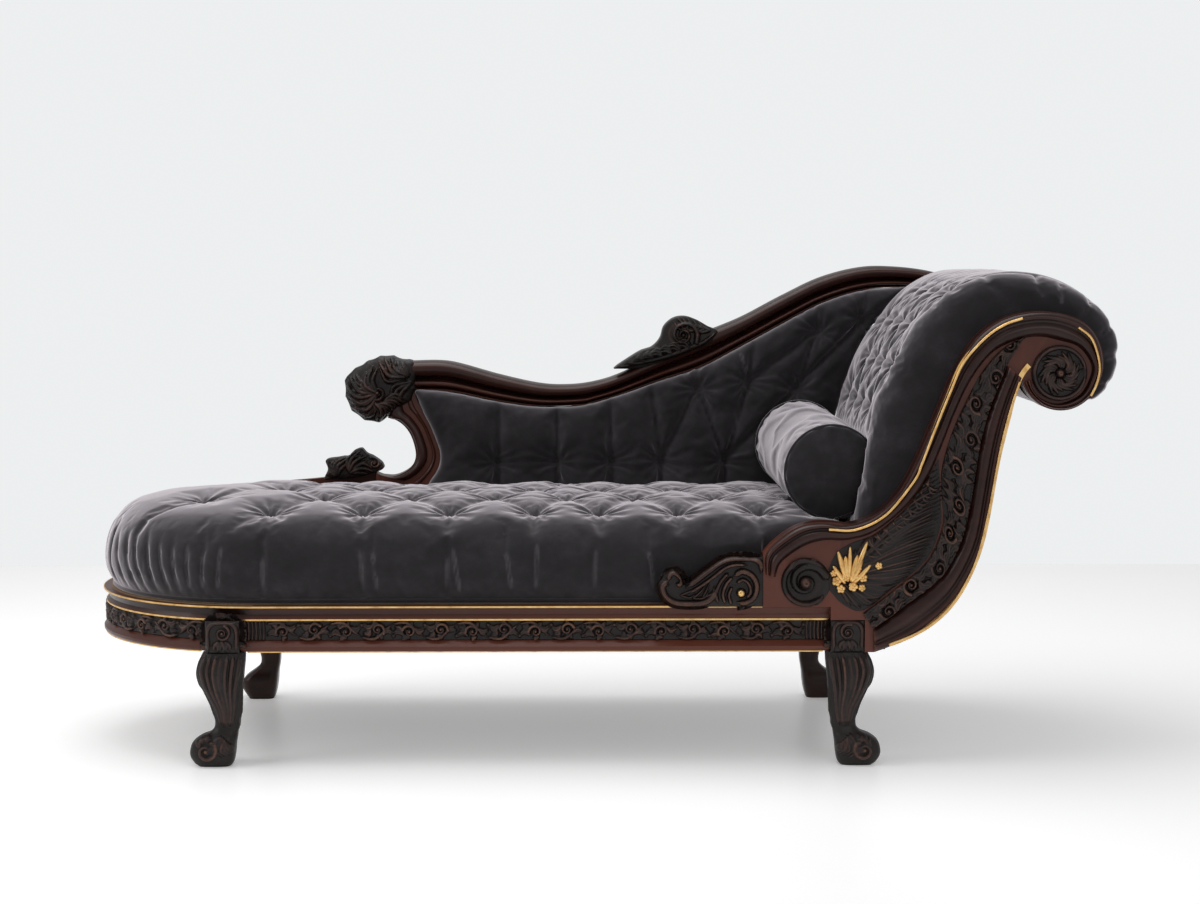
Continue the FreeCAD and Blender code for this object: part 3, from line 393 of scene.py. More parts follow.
def applied(piece, kind, **settings):    # adds a modifier with these settings and applies it
    useOnly(piece)
    modifier = piece.modifiers.new(kind.lower(), kind)
    for key, value in settings.items():
        setattr(modifier, key, value)
    bpy.ops.object.modifier_apply(modifier=modifier.name)
    return piece


def outward(piece, merged=True):         # doubles merged, then faces turned to point outwards
    useOnly(piece)
    bpy.ops.object.mode_set(mode="EDIT")
    bpy.ops.mesh.select_all(action="SELECT")
    if merged:
        bpy.ops.mesh.remove_doubles(threshold=0.00002)
    bpy.ops.mesh.normals_make_consistent(inside=False)
    bpy.ops.object.mode_set(mode="OBJECT")
    return piece


def joined(name, pieces):
    deselect()
    for piece in pieces:
        piece.select_set(True)
    bpy.context.view_layer.objects.active = pieces[0]
    if len(pieces) > 1:
        bpy.ops.object.join()
    pieces[0].name = name
    return pieces[0]


def copied(piece, matrix):     # a copy with its own mesh, set in place in its mesh
    twin = piece.copy()
    twin.data = piece.data.copy()
    twin.data.transform(matrix)
    bpy.context.scene.collection.objects.link(twin)
    if matrix.determinant() < 0:
        outward(twin)
    return twin


def getPoints(piece):
    points = np.empty(len(piece.data.vertices) * 3)
    piece.data.vertices.foreach_get("co", points)
    return points.reshape(-1, 3)


def setPoints(piece, points):
    piece.data.vertices.foreach_set("co", np.asarray(points, float).ravel())
    piece.data.update()


def getNormals(piece):
    normals = np.empty(len(piece.data.vertices) * 3)
    piece.data.vertex_normals.foreach_get("vector", normals)
    return normals.reshape(-1, 3)


def dressed(piece, finish, node=None, body="root", sharpAt=None):   # finish, smooth shading, body and node
    piece.data.materials.clear()
    piece.data.materials.append(finishes[finish])
    useOnly(piece)
    if sharpAt:
        bpy.ops.object.shade_smooth_by_angle(angle=math.radians(sharpAt))
    else:
        bpy.ops.object.shade_smooth()
    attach(piece, body)
    if node:
        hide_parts(*([node] if isinstance(node, str) else node))
    return piece


def lengthOf(run):
    return np.linalg.norm(np.diff(run, axis=0), axis=1).sum()


def distances(run):            # way travelled from the start up to each point
    return np.concatenate([[0.0], np.cumsum(np.linalg.norm(np.diff(run, axis=0), axis=1))])


def smoothRun(points, count):  # points at even steps along a smooth line through the given ones
    p = np.asarray(points, float)
    p = np.vstack([2 * p[0] - p[1], p, 2 * p[-1] - p[-2]])
    fine = []
    for i in range(1, len(p) - 2):
        for t in np.linspace(0.0, 1.0, 16, endpoint=False):
            fine.append(0.5 * (2 * p[i] + (p[i + 1] - p[i - 1]) * t
                               + (2 * p[i - 1] - 5 * p[i] + 4 * p[i + 1] - p[i + 2]) * t * t
                               + (3 * p[i] - p[i - 1] - 3 * p[i + 1] + p[i + 2]) * t ** 3))
    fine.append(p[-2])
    fine = np.array(fine)
    travelled = distances(fine)
    steps = np.linspace(0.0, travelled[-1], count)
    return np.column_stack([np.interp(steps, travelled, fine[:, k]) for k in range(fine.shape[1])])


def islands(node):             # middle and shortest axis of each loose part of a CAD node
    copy = bmesh.new()
    copy.from_mesh(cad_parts[node].data)
    bmesh.ops.remove_doubles(copy, verts=copy.verts, dist=0.00001)
    left = set(copy.verts)
    found = []
    while left:
        stack = [left.pop()]
        part = []
        while stack:
            vertex = stack.pop()
            part.append(vertex.co.copy())
            for edge in vertex.link_edges:
                other = edge.other_vert(vertex)
                if other in left:
                    left.remove(other)
                    stack.append(other)
        points = np.array(part)
        low, high = points.min(axis=0), points.max(axis=0)
        middle = (low + high) / 2
        axes = np.linalg.eigh(np.cov((points - points.mean(axis=0)).T))[1]
        found.append((middle, axes[:, 0]))
    copy.free()
    return sorted(found, key=lambda one: tuple(np.round(one[0], 3)))


def lofted(name, rings, closed=True, capped=True):   # faces between rings of as many points each
    count = len(rings[0])
    points = [p for ring in rings for p in ring]
    faces = []
    for i in range(len(rings) - 1):
        for j in range(count if closed else count - 1):
            k = (j + 1) % count
            faces.append((i * count + j, i * count + k, (i + 1) * count + k, (i + 1) * count + j))
    if capped:
        faces.append(tuple(range(count - 1, -1, -1)))
        faces.append(tuple((len(rings) - 1) * count + j for j in range(count)))
    return outward(newPiece(name, points, faces))


# Padded velvet
tufting = {
    "voxel": 0.0065,
    "seatButtonDepth": 0.027,
    "seatButtonReach": 0.060,
    "backButtonDepth": 0.027,
    "backButtonReach": 0.058,
    "headButtonDepth": 0.022,
    "headButtonReach": 0.052,
    "creaseWidth": 0.0044,
    "creaseDepth": 0.0036,
    "glowAt": 0.0026,          # where the painted highlight lies, from the middle of a crease
    "glowWidth": 0.0015,
    "puckers": 11,             # small folds round each button
    "puckerHeight": 0.0017,
    "puckerReach": 0.075,
    "stitched": 0.012,         # half width of the strip along a fold that is half held as the pad swells
    "halfHeld": 0.35,
    "swellFrames": 15,
}
clothSettings = {
    "quality": 5,
    "mass": 0.25,
    "tension_stiffness": 22.0,
    "compression_stiffness": 22.0,
    "shear_stiffness": 10.0,
    "bending_stiffness": 0.6,
}


def hollowed(piece, cutters):  # cuts these solids out of a pad, then deletes them
    for cutter in cutters:
        applied(piece, "BOOLEAN", operation="DIFFERENCE", solver="EXACT", object=cutter)
        bpy.data.objects.remove(cutter)
    return piece


def blockCutter(low, high):
    bpy.ops.mesh.primitive_cube_add(size=1.0)
    cutter = bpy.context.object
    low, high = Vector(low), Vector(high)
    cutter.data.transform(Matrix.Translation((high + low) / 2) @ Matrix.Diagonal((*(high - low), 1.0)))
    return cutter


bolsterShape = {
    "front": Vector((0.436, -0.240, 0.528)),
    "rear": Vector((0.417, 0.208, 0.542)),
    "radius": 0.088,
    "corner": 0.012,
    "crown": 0.009,
    "hollowGap": 0.0013,
    "clearance": 0.0012,       # no cloth swells nearer to the bolster than this
    "bedReach": 0.009,         # nearer than this the pads under it have no tufts
    "bedEdge": 0.006,
    "gatherHeight": 0.0016,    # small folds at the corded seams
    "slackHeight": 0.0009,
    "endWrinkles": 0.0017,
    "inset": 0.0022,           # drawn in by this much before it swells
}


def bolsterFrame():            # matrix that lays +Z along the bolster from its front end
    along = bolsterShape["rear"] - bolsterShape["front"]
    return Matrix.Translation(bolsterShape["front"]) @ along.to_track_quat("Z", "Y").to_matrix().to_4x4()


def bolsterCutter():
    reach = 0.016
    length = (bolsterShape["rear"] - bolsterShape["front"]).length
    radius = bolsterShape["radius"] + bolsterShape["hollowGap"]
    bpy.ops.mesh.primitive_cylinder_add(vertices=96, radius=radius, depth=length + 2 * reach)
    cutter = bpy.context.object
    cutter.data.transform(bolsterFrame() @ Matrix.Translation((0.0, 0.0, length / 2)))
    return cutter


def sinkCurve(distance, reach):          # 1 at a stitch, 0 at its reach, rounded like a stuffed pillow
    t = np.clip(distance / reach, 0.0, 1.0)
    return 1.0 - np.sqrt(1.0 - (1.0 - t) ** 2)


def alongSegment(points, start, end):    # distance to a segment and share of the way along it
    line = end - start
    share = np.clip(((points - start) @ line) / (line @ line), 0.0, 1.0)
    return np.linalg.norm(points - (start + share[:, None] * line), axis=1), share


def tufted(points, buttons, folds, depth, reach):    # how deep the velvet is drawn in at each point
    sunk = np.zeros(len(points))
    for place in buttons:
        sunk = np.maximum(sunk, depth * sinkCurve(np.linalg.norm(points - place, axis=1), reach))
    for start, end, endDepth, middleDepth, width in folds:
        distance, share = alongSegment(points, start, end)
        local = middleDepth + (endDepth - middleDepth) * np.abs(2 * share - 1) ** 1.5
        sunk = np.maximum(sunk, local * sinkCurve(distance, width))
    return sunk


# fine creases along the folds and puckers round the buttons
def creased(points, normals, buttons, folds, seed):
    fine = np.zeros(len(points))
    draw = random.Random(seed)
    for start, end, *rest in folds:
        distance, share = alongSegment(points, start, end)
        fade = np.clip(np.minimum(share, 1 - share) * 12, 0.0, 1.0)
        fine -= tufting["creaseDepth"] * fade * sinkCurve(distance, tufting["creaseWidth"])
    for place in buttons:
        offset = points - place
        distance = np.linalg.norm(offset, axis=1)
        near = distance < tufting["puckerReach"]
        turn = draw.uniform(0.0, 6.28)
        n = normals[np.argmin(distance)]
        side = np.cross(n, (0.31, 0.95, 0.07))
        side /= np.linalg.norm(side)
        other = np.cross(n, side)
        angle = np.arctan2(offset[near] @ other, offset[near] @ side)
        rise = np.clip((distance[near] - 0.008) / 0.012, 0.0, 1.0)
        swell = rise * np.clip((tufting["puckerReach"] - distance[near]) / 0.05, 0.0, 1.0)
        ripple = np.sin(tufting["puckers"] * angle + turn) + 0.5 * np.sin(5 * angle + 2 * turn)
        fine[near] += tufting["puckerHeight"] * swell * ripple
    return fine


def paintFoldHighlights(piece, folds):   # painted highlight where the pile is bent along a fold: a lighter base colour in place of the light caught there
    points = getPoints(piece)
    glow = np.zeros(len(points))
    for start, end, *rest in folds:
        distance, share = alongSegment(points, start, end)
        fade = np.clip(np.minimum(share, 1 - share) * 24, 0.0, 1.0)
        edge = np.exp(-((distance - tufting["glowAt"]) / tufting["glowWidth"]) ** 2)
        glow = np.maximum(glow, fade * edge)
    layer = piece.data.attributes.new("folded", "FLOAT", "POINT")
    layer.data.foreach_set("value", glow)


def heldAt(points, folds, buttons, reach):     # how firmly each point is held while a pad swells
    pinned = np.zeros(len(points))
    for start, end, *rest in folds:
        pinned[alongSegment(points, start, end)[0] < tufting["stitched"]] = tufting["halfHeld"]
    for place in buttons:
        pinned[np.linalg.norm(points - place, axis=1) < reach] = 1.0
    return pinned


# swells a pad as cloth, no point further than cap, and leaves the points that would enter what is forbidden
def inflated(piece, pinned, cap, pressure=4.0, shrink=-0.015, forbidden=None):
    useOnly(piece)
    rest = getPoints(piece)
    group = piece.vertex_groups.new(name="held")
    for level in (1.0, tufting["halfHeld"]):
        group.add([int(i) for i in np.flatnonzero(pinned == level)], level, "REPLACE")
    cloth = piece.modifiers.new("cloth", "CLOTH")
    for key, value in clothSettings.items():
        setattr(cloth.settings, key, value)
    cloth.settings.vertex_group_mass = "held"
    cloth.settings.use_pressure = True
    cloth.settings.uniform_pressure_force = pressure
    cloth.settings.shrink_min = shrink
    cloth.settings.effector_weights.gravity = 0.0
    cloth.point_cache.frame_start = 1
    cloth.point_cache.frame_end = tufting["swellFrames"]
    for number in range(1, tufting["swellFrames"] + 1):
        bpy.context.scene.frame_set(number)
    shaped = piece.evaluated_get(bpy.context.evaluated_depsgraph_get())
    moved = np.empty(len(rest) * 3)
    shaped.data.vertices.foreach_get("co", moved)
    piece.modifiers.remove(cloth)
    bpy.context.scene.frame_set(1)
    step = moved.reshape(-1, 3) - rest
    length = np.maximum(np.linalg.norm(step, axis=1), 1e-9)
    step *= np.minimum(1.0, cap / length)[:, None]
    if forbidden is not None:
        step[forbidden(rest + step)] = 0.0
    setPoints(piece, rest + step)
    most = np.linalg.norm(step, axis=1).max() / mm
    print(piece.name, "inflated, moved up to", round(float(most), 1), "mm")
    return piece


def insideBolster(points, clearance):
    line = np.array(bolsterShape["rear"] - bolsterShape["front"])
    start = np.array(bolsterShape["front"])
    length = np.linalg.norm(line)
    share = ((points - start) @ line) / length
    away = np.linalg.norm(points - start - np.outer(share / length, line), axis=1)
    return (away < bolsterShape["radius"] + clearance) & (share > -0.014) & (share < length + 0.014)


def surfacePlaces(piece, buttons, outwards):   # where each button's axis leaves the smooth pad
    tree = bmesh.new()
    tree.from_mesh(piece.data)
    lookup = BVHTree.FromBMesh(tree)
    tree.free()
    places = []
    for middle, axis in buttons:
        direction = Vector(outwards(middle, axis))
        hit = lookup.ray_cast(Vector(middle) + direction * 0.15, -direction)
        places.append(np.array(hit[0] if hit[0] else Vector(middle) + direction * 0.02))
    return places


# Seat cushion: half round foot end, straight sides, swelling past the rails, drawn in at the buttons
seatShape = {
    # distance inside the rail face and height above the rails, in mm, from the welt up to the crown
    "profile": ((9.0, 3.6), (3.0, 14.0), (-4.0, 30.0), (-8.5, 50.0), (-10.0, 72.0), (-8.0, 94.0),
                (-2.0, 114.0), (9.0, 131.0), (24.0, 143.5), (46.0, 153.5), (80.0, 162.5), (125.0, 169.5),
                (175.0, 174.5), (235.0, 178.0)),
    "straightSteps": 60,
    "roundSteps": 60,
    "swell": 0.008,            # the most that the velvet moves as the pad swells
    "rowGap": (0.06, 0.155),   # least and most distance in Y between rows that a fold joins
    "columnGap": 0.135,
    "edgeRow": -0.19,          # buttons in front of this have folds down the front
    # end depth, middle depth and half width of the folds: between buttons, to the round edge, to a side
    "fold": (0.017, 0.0095, 0.034),
    "roundFold": (0.014, 0.006, 0.028),
    "edgeFold": (0.017, 0.0075, 0.026),
    "heldReach": 0.034,        # round each button the velvet is held while the pad swells
    "pleatDepth": 1.45,        # all pleats are this much deeper than their lists say
    "pleatWidth": 0.85,
    # pleats down the front: X at the top, X at the bottom, height of the top, depth, half width
    "pleats": ((-0.603, -0.606, 0.452, 0.0062, 0.016), (-0.429, -0.422, 0.452, 0.0050, 0.014),
               (-0.407, -0.396, 0.440, 0.0042, 0.012), (-0.269, -0.272, 0.452, 0.0060, 0.016),
               (-0.262, -0.245, 0.440, 0.0028, 0.010), (-0.166, -0.150, 0.425, 0.0040, 0.012),
               (-0.107, -0.110, 0.452, 0.0052, 0.014), (0.000, -0.004, 0.452, 0.0046, 0.014),
               (0.092, 0.110, 0.430, 0.0036, 0.012), (0.126, 0.146, 0.440, 0.0040, 0.012),
               (0.151, 0.168, 0.452, 0.0054, 0.014), (0.205, 0.222, 0.440, 0.0050, 0.014),
               (0.262, 0.268, 0.430, 0.0030, 0.012)),
    # gathers round the foot end: degrees from -X to the front, drift to the bottom, top, depth, half width
    "gathers": ((-78.0, -4.0, 0.445, 0.0060, 0.015), (-66.0, -3.0, 0.430, 0.0040, 0.012),
                (-52.0, 3.0, 0.436, 0.0055, 0.014), (-38.0, -4.0, 0.425, 0.0045, 0.013),
                (-25.0, 4.0, 0.440, 0.0060, 0.015), (-12.0, -3.0, 0.428, 0.0045, 0.013),
                (0.0, 3.0, 0.440, 0.0060, 0.015), (11.0, 6.0, 0.430, 0.0050, 0.013),
                (20.0, 8.0, 0.452, 0.0072, 0.016), (28.0, 9.0, 0.436, 0.0055, 0.013),
                (35.0, 9.0, 0.446, 0.0068, 0.014), (42.0, 7.0, 0.432, 0.0060, 0.012),
                (48.5, 6.0, 0.440, 0.0070, 0.013), (55.0, 5.0, 0.428, 0.0060, 0.012),
                (61.0, 3.0, 0.436, 0.0066, 0.012), (67.5, 1.0, 0.420, 0.0050, 0.011),
                (74.0, -1.0, 0.436, 0.0060, 0.012), (80.0, -2.0, 0.415, 0.0036, 0.010)),
}


def seatRing(inset, height):   # plan of the seat at one level
    r = couch["railFaceY"] - inset * mm
    z = couch["railTop"] + height * mm
    front = [(x, -r, z) for x in np.linspace(couch["seatEndX"], couch["roundX"], seatShape["straightSteps"],
                                             endpoint=False)]
    turns = np.linspace(0.0, math.pi, seatShape["roundSteps"] + 1)
    foot = [(couch["roundX"] - r * math.sin(a), -r * math.cos(a), z) for a in turns]
    rear = [(x, -y, z) for x, y, z in reversed(front)]
    return front + foot + rear


def onSeatSide(x, z):          # point of the front of the seat pad
    return np.array((x, -couch["railFaceY"] - 0.008, z))


def onSeatRound(degrees, z):
    r = couch["railFaceY"] + 0.008
    a = math.radians(degrees)
    return np.array((couch["roundX"] - r * math.cos(a), -r * math.sin(a), z))


def seatFolds(places):
    folds = []
    least, most = seatShape["rowGap"]
    for i, p in enumerate(places):
        for q in places[i + 1:]:
            rows = abs(p[1] - q[1])
            if least < rows < most and abs(p[0] - q[0]) < seatShape["columnGap"]:
                folds.append((p, q, *seatShape["fold"]))
        fromRound = math.hypot(p[1], max(couch["roundX"] - p[0], 0.0))
        if p[0] < couch["roundX"] + 0.05 and fromRound > 0.08:      # out to the round edge of the foot
            a = math.degrees(math.atan2(-p[1], couch["roundX"] - p[0]))
            edge = onSeatRound(max(min(a, 80.0), -80.0), 0.440)
            folds.append((p, edge, *seatShape["roundFold"]))
        elif abs(p[1]) > -seatShape["edgeRow"]:
            edge = np.array((p[0], math.copysign(couch["railFaceY"] - 0.012, p[1]), couch["railTop"] + 0.142))
            folds.append((p, edge, *seatShape["edgeFold"]))
    return folds


def seatPleats():
    pleats = []
    bottom = couch["padBottom"] + 0.004
    for xTop, xLow, top, depth, width in seatShape["pleats"]:
        start = onSeatSide(xTop, top)
        start[1] = -couch["railFaceY"] + 0.015
        depth *= seatShape["pleatDepth"]
        width *= seatShape["pleatWidth"]
        pleats.append((start, onSeatSide(xTop, 0.41), depth, depth, width))
        pleats.append((onSeatSide(xTop, 0.41), onSeatSide(xLow, bottom), depth, depth * 0.8, width * 0.9))
        if xTop < couch["postX"] - 0.1:      # also on the rear side, where no back rest hides it
            pleats.append((onSeatSide(xTop, 0.43) * (1, -1, 1), onSeatSide(xLow, bottom) * (1, -1, 1), depth,
                           depth * 0.8, width))
    for angle, drift, top, depth, width in seatShape["gathers"]:
        depth *= seatShape["pleatDepth"]
        start, end = onSeatRound(angle, top), onSeatRound(angle + drift, bottom)
        pleats.append((start, end, depth, depth * 0.9, width))
    return pleats


def makeSeatCushion():
    pad = lofted("seatCushion", [seatRing(inset, height) for inset, height in seatShape["profile"]])
    face = couch["railFaceY"] + 0.0024
    inner = couch["sideInnerY"] - 0.0006
    armX = couch["headX"] - 0.198
    wingX = couch["postX"] - 0.400
    far = 1.5
    hollowed(pad, [
        bolsterCutter(),
        blockCutter((armX - 0.2, -far, 0.0), (far, -face, far)),
        blockCutter((armX - 0.0006, -far, 0.0), (far, -inner, far)),
        blockCutter((armX - 0.0006, inner, 0.0), (far, far, far)),
        blockCutter((wingX, 0.2984, 0.0), (far, far, far)),
        blockCutter((couch["postX"] - 0.142, couch["backFrontY"] - 0.0006, 0.0), (far, far, far)),
        blockCutter((couch["postX"] - 0.030, couch["backFrontY"] - 0.0276, 0.0), (far, far, far)),
    ])
    applied(pad, "REMESH", mode="VOXEL", voxel_size=tufting["voxel"])
    applied(pad, "SMOOTH", iterations=3, factor=0.5)
    places = surfacePlaces(pad, islands("seat_buttons"), lambda middle, axis: (0, 0, 1))
    folds = seatFolds(places)
    pleats = seatPleats()
    points, normals = getPoints(pad), getNormals(pad)
    depth = tufted(points, places, folds, tufting["seatButtonDepth"], tufting["seatButtonReach"])
    depth[normals[:, 2] < -0.5] = 0.0
    depth = np.maximum(depth, tufted(points, [], pleats, 0.0, 0.01))
    points -= normals * depth[:, None]
    setPoints(pad, points)
    pinned = heldAt(points, folds, places, seatShape["heldReach"])
    pinned[(points[:, 2] < couch["padBottom"] + 0.012) | (normals[:, 2] < -0.5)] = 1.0

    def blocked(p):
        side = (np.abs(p[:, 1]) > face) & (p[:, 0] > armX - 0.2)
        return insideBolster(p, bolsterShape["clearance"]) | side | (p[:, 2] < couch["padBottom"])

    inflated(pad, pinned, seatShape["swell"], forbidden=blocked)
    applied(pad, "SUBSURF", levels=1, render_levels=1)
    points, normals = getPoints(pad), getNormals(pad)
    points += normals * creased(points, normals, places, folds + pleats, 3)[:, None]
    points[:, 2] = np.maximum(points[:, 2], couch["padBottom"] + 0.0002)
    setPoints(pad, points)
    # painted highlights along the pleats and gathers
    paintFoldHighlights(pad, pleats)
    dressed(pad, "velvet", "seat_pad")
    print("seat cushion made,", len(pad.data.vertices), "points")


makeSeatCushion()


# Back cushion: fluted below, diamonds above, under the crest
backShape = {
    "rear": 0.2629,            # its back, let into the frame
    "front": 0.2295,           # its face before the tufts are drawn in
    "swell": 0.006,
    "edgeRound": 0.030,        # how far from the edge the face starts to fall away
    "edgeFall": 0.016,
    "inner": ((-54, 357), (-34, 307), (-20, 280), (-8, 249), (0, 224), (-2, 203), (-10, 184), (-26, 158),
              (-29, 100), (-30, 3.6)),
    "topPost": ((-54, 357), (-3, 353), (39, 347), (121, 330), (203, 320), (286, 322)),
    "topHead": ((-500, 328), (-445, 344), (-363, 373), (-280, 400), (-198, 443), (-116, 488), (-34, 531),
                (48, 557), (144, 566)),
    "right": ((140, 562), (72, 488), (26, 397), (-2, 305), (-14, 237), (-24, 180), (-30, 125), (-30, 3.6)),
    # pairs of buttons that a fold joins, counted along the lower row, then the upper ones
    "pairs": ((3, 5), (4, 5), (4, 6), (6, 8), (7, 8), (7, 9), (4, 7)),
    # folds from a button to the edge: button, X and Z of the far end from it, depth, half width
    "upward": ((0, 0.000, 0.150, 0.021, 0.036), (1, 0.004, 0.145, 0.021, 0.036),
               (2, -0.006, 0.150, 0.021, 0.036), (3, -0.022, 0.165, 0.018, 0.032),
               (5, 0.006, 0.045, 0.015, 0.024), (6, 0.012, 0.110, 0.015, 0.028),
               (8, 0.010, 0.110, 0.014, 0.026), (9, 0.012, 0.100, 0.014, 0.026),
               (6, -0.03, 0.09, 0.006, 0.014)),
    "downward": 0.205,         # how far the folds run down from the lower buttons
    "fold": (0.020, 0.014, 0.030),
    "downFold": (0.021, 0.020, 0.034),
    "heldReach": 0.032,
    "upperFrom": 0.58,         # height that parts the lower row of buttons from the upper ones
}


def pillowOutline():
    inner = fromPost(smoothRun(backShape["inner"], 40))
    top = smoothRun(fromPost(backShape["topPost"]) + fromHead(backShape["topHead"][1:]), 90)
    right = fromHead(smoothRun(backShape["right"], 50))
    outline = [tuple(p) for p in inner[::-1]] + [tuple(p) for p in top[1:]] + [tuple(p) for p in right[1:]]
    bottom = np.linspace(outline[-1], outline[0], 60)[1:-1]
    return np.array(outline + [tuple(p) for p in bottom])


def edgeDistance(points, outline):       # distance in X and Z from each point to a closed outline
    nearest = np.full(len(points), 9.0)
    flat = points[:, (0, 2)]
    for a, b in zip(outline, np.roll(outline, -1, axis=0)):
        nearest = np.minimum(nearest, alongSegment(flat, a, b)[0] if np.any(a != b) else 9.0)
    return nearest


def makeBackCushion():
    outline = pillowOutline()
    rings = [[(x, y, z) for x, z in outline] for y in (backShape["front"], backShape["rear"])]
    pad = lofted("backCushion", rings)
    hollowed(pad, [bolsterCutter()])
    applied(pad, "REMESH", mode="VOXEL", voxel_size=tufting["voxel"])
    applied(pad, "SMOOTH", iterations=2, factor=0.5)

    def fromLow(button):       # the lower row comes first, and each row runs from the foot end
        x, y, z = button[0]
        return z >= backShape["upperFrom"], x

    buttons = sorted(islands("back_buttons"), key=fromLow)
    places = [np.array((x, backShape["front"], z)) for (x, y, z), axis in buttons]
    folds = [(places[i], places[j], *backShape["fold"]) for i, j in backShape["pairs"]]
    for i, dx, dz, depth, width in backShape["upward"]:
        folds.append((places[i], places[i] + (dx, 0.0, dz), depth, depth * 0.85, width))
    for place in places:
        if place[2] < backShape["upperFrom"]:
            folds.append((place, place - (-0.002, 0.0, backShape["downward"]), *backShape["downFold"]))
    points, normals = getPoints(pad), getNormals(pad)
    front = (points[:, 1] < (backShape["front"] + backShape["rear"]) / 2)
    edge = edgeDistance(points, outline)
    fall = backShape["edgeFall"] * sinkCurve(edge, backShape["edgeRound"])
    depth = tufted(points, places, folds, tufting["backButtonDepth"], tufting["backButtonReach"])
    bulge = 0.008 * np.clip(1 - depth / 0.014, 0.0, 1.0) * np.clip(edge / 0.06, 0.0, 1.0)
    room = ~insideBolster(points, bolsterShape["bedReach"])
    points[:, 1] += np.where(front & room, np.maximum(depth, fall) - bulge, 0.0)
    setPoints(pad, points)
    pinned = heldAt(points, folds, places, backShape["heldReach"])
    pinned[~front | (edge < 0.007) | ~room] = 1.0
    inflated(pad, pinned, backShape["swell"],
             forbidden=lambda p: insideBolster(p, bolsterShape["clearance"]))
    applied(pad, "SUBSURF", levels=1, render_levels=1)
    points, normals = getPoints(pad), getNormals(pad)
    facing = (normals[:, 1] < -0.1) & ~insideBolster(points, bolsterShape["bedEdge"])
    fine = creased(points, normals, places, folds, 5)
    points += normals * np.where(facing, fine, 0.0)[:, None]
    setPoints(pad, points)
    # painted highlights along the upright folds
    paintFoldHighlights(pad, [fold for fold in folds if abs(fold[0][0] - fold[1][0]) < 0.06])
    dressed(pad, "velvet", "back_pad")
    print("back cushion made,", len(pad.data.vertices), "points")


makeBackCushion()


# Head cushion: up the inner slope, over the roll and down behind it
headShape = {
    "face": ((-30, 125), (-24, 180), (-14, 237), (-2, 305), (26, 397), (72, 488), (132, 559), (203, 595),
             (280, 598), (352, 580), (412, 540), (444, 490), (449, 445), (434, 400), (404, 370), (376, 361)),
    "support": ((75, 125), (84, 180), (100, 230), (125, 300), (150, 362), (185, 415), (220, 443), (261, 460)),
    "rollRadius": 0.0773,
    "swell": 0.007,
    "rollAngles": (158.0, -60.0),
    "halfWidth": 0.2972,
    "edgeSteps": ((0.2972, 0.044), (0.2955, 0.031), (0.2905, 0.018), (0.282, 0.0085), (0.269, 0.0022),
                  (0.252, 0.0)),
    "rowReach": 0.120,         # most distance between buttons that a fold joins
    "tailFade": 4.5,
    "fold": (0.018, 0.012, 0.028),
    "seam": (0.0075, 0.0075, 0.016),
    "heldReach": 0.032,
    "borderY": -0.246,         # seam between the buttoned face and the plain border
    # gathers of the border over the roll: distance along the face, depth, half width
    "borderGathers": ((0.560, 0.007, 0.015), (0.655, 0.009, 0.017), (0.700, 0.006, 0.012),
                      (0.765, 0.010, 0.018), (0.825, 0.007, 0.013), (0.880, 0.010, 0.017),
                      (0.935, 0.007, 0.013), (0.985, 0.008, 0.014)),
    "gatherReach": 0.036,      # how far down the side a gather runs
}


def headRing(y, inset):
    face = np.array(fromHead(headShape["face"]))
    line = smoothRun(face, 150)
    way = np.gradient(line, axis=0)
    way /= np.linalg.norm(way, axis=1)[:, None]
    # the tail behind the roll is thin
    toTail = np.linspace(headShape["tailFade"], 0.0, len(line)).clip(0.0, 1.0)
    line = line + np.column_stack([way[:, 1], -way[:, 0]]) * (inset * (0.15 + 0.85 * toTail))[:, None]
    line[:2, 1] = line[0, 1]
    support = smoothRun(fromHead(headShape["support"]), 34)[:-1]
    start, end = (math.radians(a) for a in headShape["rollAngles"])
    over = [onOval((couch["rollX"], couch["rollZ"]), a, headShape["rollRadius"])
            for a in np.linspace(end, start, 60)]
    outline = [tuple(p) for p in line] + over + [tuple(p) for p in support[::-1]]
    return [(x, y, z) for x, z in outline]


